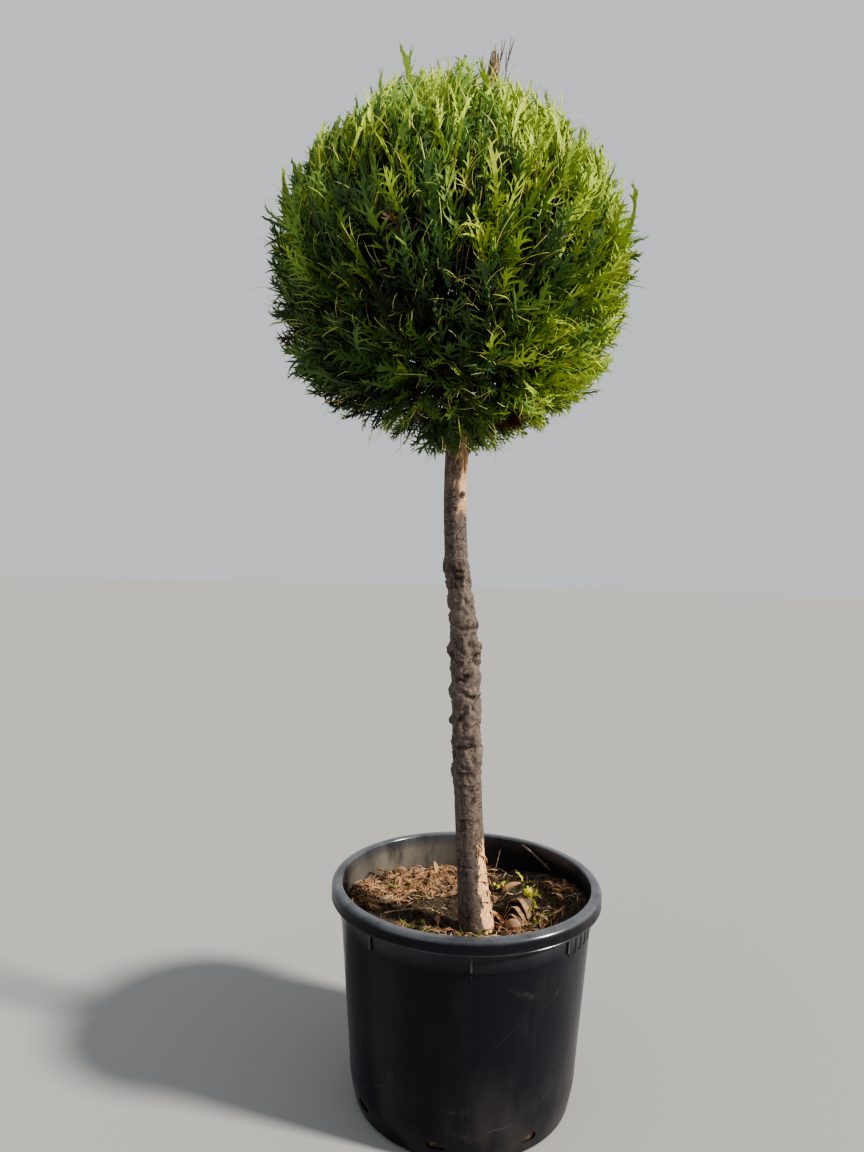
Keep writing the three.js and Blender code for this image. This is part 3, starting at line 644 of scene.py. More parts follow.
class Nodes:
    """A node tree, with short ways to add to it."""

    def __init__(self, tree):
        self.tree = tree

    def fill(self, socket, value):
        """Links a socket to another one, or sets its value."""
        if isinstance(value, bpy.types.NodeSocket):
            self.tree.links.new(value, socket)
        else:
            socket.default_value = (*value, 1) if socket.type == "RGBA" else value

    def give(self, result, **values):
        for name, value in values.items():
            self.fill(result[name], value)
        return self.tree

    def add(self, kind, sockets=None, **settings):
        """The outputs of a new node, whose sockets are filled."""
        node = self.tree.nodes.new("ShaderNode" + kind)
        for key, value in settings.items():
            setattr(node, key, value)
        for key, value in (sockets or {}).items():
            self.fill(node.inputs[key], value)
        return node.outputs

    def shared(self, key, **sockets):
        """The outputs of a shared group, placed here with its own values."""
        return self.add("Group", sockets, node_tree=GROUPS[key])

    def place(self):
        return self.add("TexCoord")["Object"]

    def attribute(self, name):
        return self.add("Attribute", attribute_name=name)["Fac"]

    def parts(self, vector):
        return self.add("SeparateXYZ", {0: vector})

    def math(self, operation, *values):
        return self.add("Math", dict(enumerate(values)), operation=operation)[0]

    def times(self, first, second):
        return self.math("MULTIPLY", first, second)

    def away(self, value, middle):
        return self.math("ABSOLUTE", self.math("SUBTRACT", value, middle))

    def vector(self, operation, first, second):
        return self.add("VectorMath", {0: first, 1: second}, operation=operation)[0]

    def turned(self, vector, angle):
        rotation = self.add("CombineXYZ", {1: angle})[0]
        values = {"Vector": vector, "Rotation": rotation}
        return self.add("VectorRotate", values, rotation_type="EULER_XYZ")[0]

    def mapped(self, value, low, high, to_low=0.0, to_high=1.0):
        sockets = {"Value": value, "From Min": low, "From Max": high, "To Min": to_low, "To Max": to_high}
        return self.add("MapRange", sockets, interpolation_type="SMOOTHSTEP")["Result"]

    def mixed(self, share, first, second):
        """A colour between two, by a share. The sockets are numbered, as their names repeat."""
        return self.add("Mix", {0: share, 6: first, 7: second}, data_type="RGBA")[2]

    def noise(self, vector, scale, detail, roughness=0.5):
        sockets = {"Vector": vector, "Scale": scale, "Detail": detail, "Roughness": roughness}
        return self.add("TexNoise", sockets)["Fac"]

    def layered(self, shader, base, layers):
        """The shader's colour: a base with other colours over it, each by its own share."""
        for share, over in layers:
            base = self.mixed(share, base, over)
        self.fill(shader["Base Color"], base)

    def bump(self, shader, height, distance):
        """Relief from a height, with its depth in millimetres."""
        normal = self.add("Bump", {"Height": height, "Distance": distance * MM})["Normal"]
        self.fill(shader["Normal"], normal)


def new_group(name, inputs, outputs):
    """A shader node group with named sockets: its nodes, and the sockets that it is given and gives."""
    tree = bpy.data.node_groups.new(name, "ShaderNodeTree")
    for label, value in inputs.items():
        kind = "Float" if isinstance(value, float) else {3: "Vector", 4: "Color"}[len(value)]
        socket = tree.interface.new_socket(label, in_out="INPUT", socket_type="NodeSocket" + kind)
        socket.default_value = value
    for label, kind in outputs.items():
        tree.interface.new_socket(label, in_out="OUTPUT", socket_type="NodeSocket" + kind)
    return Nodes(tree), tree.nodes.new("NodeGroupInput").outputs, tree.nodes.new("NodeGroupOutput").inputs


def grain_group():
    """Lumps of one size, drawn out along Z by a stretch, with finer ones on them."""
    inputs = {"Size": 0.01, "Stretch": 1.0, "Detail": 4.0}
    nodes, given, result = new_group("drawn_out_grain", inputs, {"Height": "Float"})
    scale = nodes.add("CombineXYZ", {0: 1.0, 1: 1.0, 2: nodes.math("DIVIDE", 1.0, given["Stretch"])})[0]
    place = nodes.vector("MULTIPLY", nodes.place(), scale)
    fineness = nodes.math("DIVIDE", 1.0, given["Size"])
    return nodes.give(result, Height=nodes.noise(place, fineness, given["Detail"], 0.6))


def tint_group():
    """A colour that drifts between two by patches of one size, and the patches as a mask."""
    grey = (0.5, 0.5, 0.5, 1)
    inputs = {"Colour": grey, "Partner": grey, "Size": 0.01, "Stretch": 1.0, "Low": 0.35, "High": 0.65}
    nodes, given, result = new_group("drifting_tint", inputs, {"Colour": "Color", "Mask": "Float"})
    height = nodes.shared("grain", Size=given["Size"], Stretch=given["Stretch"])["Height"]
    mask = nodes.mapped(height, given["Low"], given["High"])
    return nodes.give(result, Colour=nodes.mixed(mask, given["Colour"], given["Partner"]), Mask=mask)


def dust_group():
    """Dust that gathers low on the wall and on what faces up, in soft streaks."""
    nodes, given, result = new_group("settled_dust", {"Top": 0.2, "Amount": 0.5}, {"Mask": "Float"})
    low = nodes.mapped(nodes.parts(nodes.place())["Z"], given["Top"], 0.0)
    normal = nodes.add("NewGeometry")["Normal"]
    flat = nodes.mapped(nodes.parts(normal)["Z"], 0.5, 1.0, 0.0, 0.7)
    streak = nodes.mapped(nodes.shared("grain", Size=0.06, Stretch=2.2)["Height"], 0.42, 0.72)
    both = nodes.times(nodes.math("MAXIMUM", low, flat), streak)
    return nodes.give(result, Mask=nodes.times(both, given["Amount"]))


def scratch_group():
    """Thin scratches that run one way, broken up into short lengths."""
    inputs = {"Angle": 0.0, "Spacing": 0.05, "Share": 0.5}
    nodes, given, result = new_group("fine_scratches", inputs, {"Mask": "Float"})
    turned = nodes.turned(nodes.place(), given["Angle"])
    drawn = nodes.vector("MULTIPLY", turned, (0.16, 0.16, 1.0))
    fineness = nodes.math("DIVIDE", 1.0, given["Spacing"])
    ridges = nodes.noise(drawn, fineness, 1.0)
    line = nodes.mapped(nodes.away(ridges, 0.5), 0.006, 0.0)
    patch = nodes.noise(turned, 17.0, 2.0)
    edge = nodes.math("SUBTRACT", 1.0, given["Share"])
    broken = nodes.mapped(patch, edge, nodes.math("ADD", edge, 0.08))
    return nodes.give(result, Mask=nodes.times(line, broken))


def mark_group():
    """One soft smear: it fades out from a centre on the wall, and is broken up by fine grain."""
    inputs = {"Centre": (0, 0, 0), "Width": 0.01, "Height": 0.01, "Tilt": 0.0}
    nodes, given, result = new_group("single_scuff", inputs, {"Mask": "Float"})
    turned = nodes.turned(nodes.vector("SUBTRACT", nodes.place(), given["Centre"]), given["Tilt"])
    part = nodes.parts(turned)
    across = nodes.math("DIVIDE", part["X"], given["Width"])
    along = nodes.math("DIVIDE", part["Z"], given["Height"])
    away = nodes.math("SQRT", nodes.math("ADD", nodes.times(across, across), nodes.times(along, along)))
    near = nodes.mapped(nodes.math("ABSOLUTE", part["Y"]), 0.05, 0.03)
    rough = nodes.noise(turned, 110.0, 6.0)
    inside = nodes.times(nodes.mapped(away, 1.0, 0.1), nodes.mapped(rough, 0.3, 0.8))
    return nodes.give(result, Mask=nodes.times(inside, near))


def new_material(name, base, roughness, specular=0.5):
    """A new material, its nodes and its shader's sockets."""
    material = bpy.data.materials.new(name)
    material.use_nodes = True
    nodes = Nodes(material.node_tree)
    shader = material.node_tree.nodes["Principled BSDF"].inputs
    for key, value in (("Base Color", base), ("Roughness", roughness), ("Specular IOR Level", specular)):
        nodes.fill(shader[key], value)
    return material, nodes, shader


def leaf_material(name, base, roughness=0.5):
    """Scale leaves: one plain colour, with fine overlapping scales in the relief and the gloss."""
    material, nodes, shader = new_material(name, base, roughness, 0.12)
    scales = nodes.shared("grain", Size=1.3 * MM, Stretch=1.8, Detail=2.0)["Height"]
    nodes.fill(shader["Roughness"], nodes.mapped(scales, 0.3, 0.7, roughness - 0.1, roughness + 0.14))
    nodes.bump(shader, scales, 0.5)
    return material


def wood_material(name, base, partner, size=4, stretch=5.0, relief=0.6, roughness=0.8):
    """Plain wood or bark: two tones in drawn-out patches, over fine grain. Sizes are in millimetres."""
    material, nodes, shader = new_material(name, base, roughness, 0.3)
    size = size * MM
    tint = nodes.shared("tint", Colour=base, Partner=partner, Size=size, Stretch=stretch)
    nodes.fill(shader["Base Color"], tint["Colour"])
    nodes.bump(shader, nodes.shared("grain", Size=size / 2, Stretch=stretch)["Height"], relief)
    return material


def stem_material(wood):
    """Grey-brown bark with dark grooves, a pale strip low down on the right that is peeled bark and painted
    sunlight, and smooth bark at the top.
    """
    material, nodes, shader = new_material("stem_bark", wood.bark, 0.82, 0.3)

    def grain(size, stretch, detail):
        return nodes.shared("grain", Size=size * MM, Stretch=stretch, Detail=detail)["Height"]

    strips = grain(6, 1.7, 5.0)
    fine = grain(2.0, 0.5, 4.0)
    speck = grain(2.6, 0.45, 2.0)
    loops = grain(15, 0.8, 1.0)
    relief = nodes.attribute("relief")
    crease = nodes.mapped(nodes.away(loops, 0.44), 0.022, 0.004)
    thread = nodes.mapped(nodes.away(loops, 0.52), 0.016, 0.003)
    warm = nodes.mixed(nodes.mapped(strips, 0.35, 0.6), wood.upper, wood.bark)
    pale = nodes.mixed(nodes.mapped(strips, 0.4, 0.7, 0.0, 0.6), wood.peel_and_sunlight, wood.upper)
    pale = nodes.mixed(nodes.mapped(speck, 0.38, 0.30), pale, wood.groove_and_shade)
    nodes.layered(shader, wood.bark, (
        (nodes.mapped(strips, 0.36, 0.74), wood.weathered_and_sheen),
        (nodes.mapped(fine, 0.46, 0.28, 0.0, 0.6), wood.groove_and_shade),
        (nodes.times(crease, 0.75), wood.groove_and_shade),
        (nodes.times(thread, 0.24), wood.leader),
        # Darker in the lows of the relief and paler on its highs: partly the bark's own furrows and weathered
        # ridges, partly painted shade in the creases and painted sheen on the ridges.
        (nodes.mapped(relief, 0.30, 0.0, 0.0, 0.8), wood.groove_and_shade),
        (nodes.mapped(relief, 0.66, 1.0, 0.0, 0.7), wood.weathered_and_sheen),
        (nodes.attribute("upper"), warm),
        # The pale strip: peeled bark, and painted sunlight on the stem's right side.
        (nodes.attribute("peel_and_sunlight"), pale),
        # Knot eyes, the crack and the scar, and painted shade in the hollows under knots and folds.
        (nodes.attribute("scar_and_shade"), wood.groove_and_shade),
    ))
    nodes.fill(shader["Roughness"], nodes.mapped(fine, 0.3, 0.7, 0.68, 0.92))
    height = nodes.math("ADD", nodes.times(strips, 1.2), fine)
    nodes.bump(shader, nodes.math("SUBTRACT", height, nodes.times(crease, 1.2)), 0.9)
    return material


def plastic_material(pot):
    """Black moulded plastic with dust, fine scratches and a few scuffs where the pot was handled, and a
    painted sheen on the rim and on the ribs' edges.
    """
    material, nodes, shader = new_material("pot_plastic_moulded", pot.plastic, 0.36, 0.14)
    dust = nodes.shared("dust", Top=150 * MM, Amount=0.16)["Mask"]
    haze = nodes.shared("grain", Size=45 * MM, Stretch=2.4, Detail=6.0)["Height"]
    patch = nodes.mapped(haze, 0.3, 0.6, 0.25, 0.75)
    sheen = nodes.attribute("rim_sheen_mask")
    layers = [
        (nodes.mapped(haze, 0.45, 0.8, 0.0, 0.07), pot.dust),
        (dust, pot.dust),
        # Dust and a painted patch of sunlight on the inner wall at the back left.
        (nodes.times(nodes.attribute("inner_dust_and_light"), patch), pot.dust),
        # Painted sheen and highlight: the rim's top, a bead under it and the ribs' outer edges are lightened.
        (nodes.times(sheen, patch), pot.sheen_tint),
    ]
    for angle, spacing, share, strength in SCRATCHES:
        line = nodes.shared("scratch", Angle=angle * DEG, Spacing=spacing * MM, Share=share)["Mask"]
        layers.append((nodes.times(line, strength), pot.dust))
    for centre, width, height, tilt in SCUFFS:
        sizes = {"Width": width * MM, "Height": height * MM, "Tilt": tilt * DEG}
        scuff = nodes.shared("mark", Centre=Vector(centre) * MM, **sizes)["Mask"]
        layers.append((nodes.times(scuff, 0.15), pot.dust))
    nodes.layered(shader, pot.plastic, layers)
    gloss = nodes.math("ADD", nodes.mapped(haze, 0.3, 0.7, 0.20, 0.30), nodes.times(dust, 0.9))
    nodes.fill(shader["Roughness"], gloss)
    nodes.fill(shader["Coat Weight"], nodes.times(sheen, 0.9))
    shader["Coat Roughness"].default_value = 0.18
    pores = nodes.shared("grain", Size=1.1 * MM, Detail=2.0)["Height"]
    nodes.bump(shader, nodes.math("ADD", nodes.times(haze, 1.6), nodes.times(pores, 0.12)), 0.35)
    return material


def soil_material(pot):
    """Dark crumbly soil with drier, paler lumps."""
    material, nodes, shader = new_material("potting_soil_dark", pot.soil, 0.95, 0.2)
    tint = nodes.shared("tint", Colour=pot.soil, Partner=pot.crumb, Size=7 * MM, Low=0.45, High=0.7)
    nodes.fill(shader["Base Color"], tint["Colour"])
    nodes.bump(shader, nodes.shared("grain", Size=2.2 * MM, Detail=6.0)["Height"], 1.6)
    return material


# Fine scratches on the pot: angle in degrees, spacing in millimetres, share kept and strength.
SCRATCHES = ((24, 30, 0.42, 0.16), (-14, 44, 0.40, 0.12), (78, 60, 0.36, 0.10))
# Scuffs on the pot's front in millimetres and degrees: centre, half width, half height and tilt.
SCUFFS = (
    ((-101, -144, 102), 9, 13, 10),
    ((4, -170, 42), 30, 9, -14),
    ((-12, -172, 78), 26, 5, 8),
    ((70, -160, 236), 34, 7, -28),
)

STALK_WIDTHS = (0.7, 0.9, 1.2, 1.6, 1.7, 1.2)  # of a frond's blade from its foot, in girths
TONES = ("shade", "deep", "middle", "fresh", "bright", "pale", "dead", "straw")
FROND_KINDS = {  # variants, then seed, claws a side, longest claw, girth, spread in degrees and forks
    "full": (9, 100, 6, 0.32, 0.040, 58, 1),
    "slim": (4, 200, 5, 0.20, 0.036, 28, 1),
    "plain": (4, 300, 4, 0.34, 0.060, 50, 0),
    "broad": (3, 400, 4, 0.38, 0.070, 50, 0),
}
# The paler young parts and tips of the fronds are partly young growth and partly painted highlight.
TONE_STEPS = {  # tones of the old part, the young part and the tips of each tone's fronds
    "shade": ("shade", "shade", "deep"),
    "deep": ("deep", "middle", "fresh"),
    "middle": ("middle", "fresh", "bright"),
    "fresh": ("fresh", "bright", "pale"),
    "bright": ("bright", "bright", "pale"),
    "dead": ("dead", "straw", "straw"),
}
THIN_PLACE, THIN_WIDTH, THIN_TOP, THIN_SHARE = -125 * MM, 62 * MM, 1052 * MM, 0.5
DEAD_PLACE, DEAD_RADIUS, DEAD_SPRAYS = MM * np.array((42.0, -112.0, 982.0)), 28 * MM, 9
SKIRT, SKIRT_TOP = 420, 1105 * MM
TUFTS, TUFT_FROM = 300, 1300 * MM
# Sets of fronds: kind, seed, reach, how much less at most, where they start, sweep, droop, low and high.
FROND_SETS = (
    ("full", 61, 1.035, 0.10, 0.84, 15, 5, 0, 9),
    ("plain", 62, 0.93, 0.10, 0.72, 17, 4, 0, 9),
    ("broad", 63, 0.76, 0.30, 0.40, 12, 0, 0, 9),
    ("full", 64, 1.05, 0.17, 0.80, 16, 7, 0, SKIRT_TOP),
    ("slim", 65, 1.09, 0.12, 0.88, 18, 18, TUFT_FROM, 9),
)
PALE_TWIGS, OLD_TWIGS = 1500, 130
STRAY = 62 * MM  # how far to the sides the feet of fronds are spread
# How much lighter the fronds' tones are painted at the top, at the right and at the lower right, where the
# key light falls, and how much they scatter at random.
PAINTED_LIGHT_UP, PAINTED_LIGHT_RIGHT, PAINTED_LIGHT_LOW_RIGHT, TONE_SCATTER = 0.34, 0.32, 0.30, 0.55
CROWN_NODE = ("clipped_crown",)


def painted_light_tone(tip, draw):
    """Painted light and shade of a frond at the face: its tone, from 0 low down to 1 at the sunlit top and
    right.
    """
    away = tip - CROWN_CENTRE
    x, y, z = unit(away)
    share = np.linalg.norm(away) / crown_reach(unit(away))[0]
    patch = math.sin(9 * x + 4 * z + 1) + math.sin(11 * y - 6 * z) + math.sin(8 * z + 7 * x + 2)
    up, right = max(z, 0), max(x, 0)
    value = 0.45 + 0.08 * z + PAINTED_LIGHT_UP * up + 0.04 * x + PAINTED_LIGHT_RIGHT * right
    value += PAINTED_LIGHT_LOW_RIGHT * right * max(-z, 0)
    value += 0.07 * patch + TONE_SCATTER * (draw() - 0.5)
    # Fronds further in from the face get darker tones: painted shade.
    return value * (0.25 + 0.75 * float(smooth_step(share, 0.70, 0.97)))


def limb_of(row, share):
    return row[0] + (row[1] - row[0]) * share


def side_spray(root, tip, roll, turn, length_share):
    """A spray that leaves another in its own plane, turned to one side."""
    length, ahead, side, _ = frames_for(root[None], tip[None], np.array([roll]))
    direction = ahead[0] * math.cos(turn) + side[0] * math.sin(turn)
    return root + direction * length[0] * length_share


def frond_rows(outer, behind, inside):
    """Every frond of the ball by the spray rule: its kind, its tone and its row."""
    draw = seeded(SPRAY_SEED + 1)
    fronds = []

    def keep(kind, root, tip, roll, width, tone=None):
        if not clear_of_stem(root, tip):
            return
        near_gap = abs(tip[0] - THIN_PLACE) < THIN_WIDTH and tip[2] < THIN_TOP
        if near_gap and draw() < THIN_SHARE and tone != "dead":
            return
        # Fronds behind the face take darker tones, a painted shade.
        fresh = painted_light_tone(tip, draw) * (0.35 if kind == "plain" else 1)
        if tone is None:
            dry = 0.08 if kind == "broad" else 0.002
            spot = np.linalg.norm(limb_of((root, tip), 0.7) - DEAD_PLACE) < DEAD_RADIUS
            tone = "dead" if spot or draw() < dry else TONES[int(min(max(fresh * 5.4, 0), 4))]
        bow, sway, twist = 0.30 * (draw() - 0.5), 0.22 * (draw() - 0.5), 1.5 * (draw() - 0.5)
        variant = int(draw() * FROND_KINDS[kind][0])
        fronds.append((tone, kind, variant, (root, tip, roll, width, bow, sway, twist)))

    for root, tip, roll in solid_sprays():
        roll *= 1.15
        keep("full", root + (tip - root) * 0.2, tip, roll, 0.95 + 0.3 * draw())
        for hand in (-1, 1):
            start = root + (tip - root) * (0.05 + 0.3 * draw())
            end = side_spray(start, tip, roll, hand * (24 + 16 * draw()) * DEG, 0.66 + 0.2 * draw())
            keep("full", start, end, roll + (draw() - 0.5) * 1.2, 0.85 + 0.3 * draw())
    counts = (outer, behind, inside, 4 * SKIRT, 4 * TUFTS)
    for count, (kind, seed, beyond, shallow, root_share, sweep, droop, low, high) in zip(counts, FROND_SETS):
        rule = spray_rule(count, seed, beyond, shallow, root_share, 0, sweep, droop, (-0.95, -0.4))
        for root, tip, roll in rule:
            aside = unit(np.cross(tip - CROWN_CENTRE, (0, 0, 1)))
            root = root + aside * STRAY * (draw() - 0.5)
            if low < tip[2] < high:
                # The broad fronds deep inside all take the shade tone, a painted shade.
                keep(kind, root, tip, roll * 1.15, 0.8 + 0.45 * draw(), "shade" if kind == "broad" else None)
    for number, place in enumerate(WISPS):
        root, tip = wisp_ends(place)
        if number not in BARE_WISPS:
            keep("slim", root + (tip - root) * 0.15, tip, draw() * math.pi, 0.7 + 0.4 * draw())
    for _ in range(DEAD_SPRAYS):
        direction = unit(np.array((draw() - 0.2, -0.7 - draw(), -0.9 + 1.2 * draw())))
        start = DEAD_PLACE - direction * 16 * MM
        keep("full", start, start + direction * (30 + 12 * draw()) * MM, draw() * math.pi, 1.0, "dead")
    return fronds


def solid_sprays():
    """The sprays that the solids show, kept clear of the stem."""
    rows = spray_rule(SPRAY_COUNT, SPRAY_SEED, SPRAY_BEYOND, SPRAY_SHALLOW, CORE_SHARE, SPRAY_SINK,
                      SPRAY_SWEEP, SPRAY_DROOP)
    return [row for row in rows if clear_of_stem(row[0], row[1])]


def wisp_ends(place):
    tip = np.array(place) * MM
    start = lowered(unit(tip - CROWN_CENTRE), SPRAY_DROOP)
    return crown_point(start, CORE_SHARE) - start * SPRAY_SINK, tip


def dealt(fronds):
    """Fronds dealt out by tone into joined meshes, each under the most triangles for a piece."""
    templates = {
        (kind, variant): frond_template(seed + variant, *shape)
        for kind, (variants, seed, *shape) in FROND_KINDS.items() for variant in range(variants)
    }
    groups = {}
    for tone, kind, variant, row in fronds:
        groups.setdefault(tone, {}).setdefault((kind, variant), []).append(row)
    for tone in sorted(groups):
        parts = []
        total = 0
        for key, rows in sorted(groups[tone].items()):
            each = len(templates[key][1])
            while rows:
                room = max(1, (MOST_TRIANGLES - total) // each)
                parts.append(placed_fronds(templates[key], rows[:room]))
                total += each * len(rows[:room])
                rows = rows[room:]
                if total + each > MOST_TRIANGLES:
                    yield tone, joined(parts)
                    parts, total = [], 0
        if parts:
            yield tone, joined(parts)


class TOPIARY_OT_foliage(bpy.types.Operator):
    """Clothe the clipped ball in flat scale-leaf fronds"""

    bl_idname = "topiary.foliage"
    bl_label = "Foliage"

    def execute(self, context):
        settings = context.scene.topiary_foliage
        leaves = {tone: leaf_material("leaf_" + tone, getattr(settings, tone)) for tone in TONES}
        numbers = dict.fromkeys(TONES, 0)
        for tone, arrays in dealt(frond_rows(settings.outer, settings.behind, settings.inside)):
            numbers[tone] += 1
            materials = [leaves[step] for step in TONE_STEPS[tone]]
            piece_from(f"foliage_{tone}_{numbers[tone]}", arrays, materials, "foliage", False, CROWN_NODE)
        return {"FINISHED"}


def branch_lines(count, steps=12):
    """Branches up the stem above the boughs, by the boughs' rule: out, then rising to the face."""
    draw = seeded(SPRAY_SEED + 2)
    lines = []
    for i in range(count):
        share = (i + 0.5) / count
        turn = i * GOLDEN_TURN
        rise = (-48 + 126 * share) * DEG
        level = math.cos(rise)
        direction = outward(turn, math.sin(rise)) * (level, level, 1)
        start = stem_at(990 * MM + 480 * MM * share)[0]
        end = crown_point(direction, 0.68 + 0.12 * draw())
        lines.append(curve_points(start, start + (end - start) * (0.6, 0.6, 0.22 + 0.3 * share), end, steps))
    return lines


def bough_ends(steps=12):
    """The boughs carried on from their tips to just inside the face."""
    lines = []
    for i in range(BOUGH_COUNT):
        before, last = bough_line(i)[0][-2:]
        turn = BOUGH_TURN + i * math.tau / BOUGH_COUNT
        end = crown_point(unit(outward(turn, -0.1 + 0.5 * (i % 2))), 0.78)
        lines.append(curve_points(last, last + (last - before) * 5, end, steps))
    return lines


def nearest(points, targets):
    """For each target, the one of the points that is nearest to it."""
    return points[[np.argmin(np.sum((points - target) ** 2, 1)) for target in targets]]


def twig_arrays(settings):
    """Branches from the stem, a twig to each spray and a stalk to each frond, as tubes."""
    draw = seeded(SPRAY_SEED + 3)
    branches = branch_lines(settings.branches) + bough_ends()
    thick = [4.6 * MM if i >= settings.branches else (3.4 + 1.2 * draw()) * MM for i in range(len(branches))]
    parts = [tubes(branches, np.outer(thick, np.linspace(1, 0.45, len(branches[0]))), 6)]
    ends = [row[:2] for row in solid_sprays()] + [wisp_ends(place) for place in WISPS]
    starts = nearest(np.vstack([line[3:] for line in branches]), [root for root, _ in ends])
    twigs = []
    for start, (root, tip) in zip(starts, ends):
        near = start + (root - start) * 0.5 - np.array((0, 0, 8 * MM * draw()))
        leg = curve_points(start, near, root, 5)
        twigs.append(np.vstack([leg, root + (tip - root) * 0.14, root + (tip - root) * 0.28]))
    parts.append(tubes(twigs, np.linspace(2.0, 0.7, 8) * MM, 4))
    rows = [row for _, _, _, row in frond_rows(settings.outer, settings.behind, settings.inside)]
    stalks = []
    for start, row in zip(nearest(np.vstack(twigs), [row[0] for row in rows]), rows):
        away = row[0] - start
        if 4 * MM < np.linalg.norm(away) < 85 * MM:
            bend = start + away * 0.6 + (row[1] - row[0]) * -0.12
            stalks.append(np.stack([start, bend, row[0], limb_of(row, 0.06)]))
    parts.append(tubes(stalks, mm(1.1, 0.9, 0.8, 0.4), 3))
    return joined(parts)


def fine_twigs(rows, count, draw):
    """Thread-like curved ends that run on from the tips of some fronds at the face."""
    lines = []
    for _ in range(count):
        root, tip = rows[int(draw() * len(rows))][:2]
        ahead = unit(tip - root)
        aside = unit(np.cross(ahead, (draw() - 0.5, draw() - 0.5, draw() - 0.5)))
        start = root + (tip - root) * (0.45 + 0.4 * draw()) + aside * 5 * MM * draw()
        reach = (12 + 20 * draw()) * MM
        middle = start + ahead * reach * 0.6 + aside * reach * 0.1
        end = start + ahead * reach + aside * reach * (0.3 + 0.7 * draw())
        lines.append(curve_points(start, middle, end, 4))
    return tubes(lines, np.linspace(0.6, 0.22, 5) * MM, 3)


def old_twigs(count, draw):
    """Thin bare twigs just behind the face, that rise where the fronds are sparse."""
    lines = []
    for i in range(count):
        direction = unit(np.array((1.4 * (draw() - 0.5), -1 if i % 3 else 1, 1.2 * (draw() - 0.55))))
        start = crown_point(lowered(direction, 12), 0.80)
        end = crown_point(direction, 0.93 + 0.06 * draw())
        middle = (start + end) / 2 + np.array((draw() - 0.5, 0, draw() - 0.5)) * 24 * MM
        lines.append(curve_points(start, middle, end, 7))
    return tubes(lines, np.linspace(1.1, 0.5, 8) * MM, 5)


def bare_twigs():
    """The bare twigs that stand out of the top, each with three spurs."""
    lines = []
    for number in BARE_WISPS:
        root, tip = wisp_ends(WISPS[number])
        line = curve_points(root, (root + tip) / 2 + mm(4, 3, 3), tip, 9)
        lines.append(line)
        for share, hand in ((0.5, 1), (0.68, -1), (0.82, 1)):
            start = line[int(share * 9)]
            end = start + (tip - root) * 0.2 + hand * mm(9, 2, 5) * (1.2 - share)
            lines.append(curve_points(start, (start + end) / 2 + mm(hand, 0, 2), end, 9))
    return tubes(lines, np.linspace(1.15, 0.45, 10) * MM, 6)


class TOPIARY_OT_twigs(bpy.types.Operator):
    """Grow the branches, twigs and stalks that carry the fronds"""

    bl_idname = "topiary.twigs"
    bl_label = "Inner twigs"

    def execute(self, context):
        wood = context.scene.topiary_wood
        settings = context.scene.topiary_foliage
        draw = seeded(SPRAY_SEED + 4)
        outer = [row for tone, _, _, row in frond_rows(settings.outer, 0, 0) if tone != "dead"]
        bark = wood_material("twig_bark", wood.twig, wood.groove_and_shade, 3, 3.0, 0.3)
        pale = leaf_material("thread_green", settings.pale)
        old = wood_material("old_twig_bark", wood.upper, wood.twig, 3, 3.0, 0.3)
        grey = wood_material("bare_twig_bark", wood.grey_twig, wood.twig, 3, 3.0, 0.3)
        for name, arrays, material, slot in (
            ("inner_twigs", twig_arrays(settings), bark, "bark"),
            ("fine_pale_twigs", fine_twigs(outer, PALE_TWIGS, draw), pale, "foliage"),
            ("old_bare_twigs", old_twigs(OLD_TWIGS, draw), old, "bark"),
            ("bare_top_twigs", bare_twigs(), grey, "bark"),
        ):
            piece_from(name, arrays, [material], slot, True, CROWN_NODE)
        return {"FINISHED"}


class TOPIARY_OT_boughs(bpy.types.Operator):
    """Model the six boughs that leave the stem at the foot of the ball"""

    bl_idname = "topiary.boughs"
    bl_label = "Boughs"

    def execute(self, context):
        wood = context.scene.topiary_wood
        bark = wood_material("bough_bark", wood.bark, wood.weathered_and_sheen, 4, 4.0, 0.5)
        lines, radii = zip(*[bough_line(i, 30) for i in range(BOUGH_COUNT)])
        points, faces, tones = tubes(lines, radii, 14)
        middles = np.repeat(np.vstack(lines), 14, 0)
        bumps = 1 + 0.10 * noise_at(points, 9 * MM) + 0.05 * noise_at(points, 3 * MM)
        points = middles + (points - middles) * bumps[:, None]
        nodes = [f"bough_{i + 1}" for i in range(BOUGH_COUNT)]
        piece_from("boughs", (points, faces, tones), [bark], "bark", True, nodes)
        return {"FINISHED"}


# The pale strips low and high on the stem's right side are partly peeled bark and partly painted sunlight.
SUNLIT_PEEL_TOP, SUNLIT_PEEL_LEFT, SUNLIT_PEEL_RIGHT, PEEL_DEPTH = 398 * MM, -66 * DEG, 48 * DEG, 0.9 * MM
SUNLIT_PEEL_AGAIN = 868 * MM
SCAR_TOP, SCAR_LENGTH, SCAR_TURN, SCAR_WIDTH = 791 * MM, 42 * MM, -92 * DEG, 13 * MM
CRACK_HEIGHT, CRACK_LEFT, CRACK_RIGHT = 362 * MM, -155 * DEG, -58 * DEG
UPPER_FROM = 880 * MM
# Hollows under the knots and folds, sunk and darkened as painted shade: height, turn in degrees, half width
# and half height in mm.
HOLLOWS = (
    (700, -77, 8, 4), (677, -58, 7, 6), (651, -34, 7, 6), (630, -88, 5, 7), (661, -146, 5, 6),
    (602, -62, 5, 4), (571, -118, 6, 4), (531, -104, 13, 3.6), (493, -98, 14, 4.6), (512, -60, 4, 6),
    (455, -70, 4, 5), (425, -120, 5, 3), (742, 60, 6, 5), (640, 70, 8, 5), (560, 120, 8, 4),
)
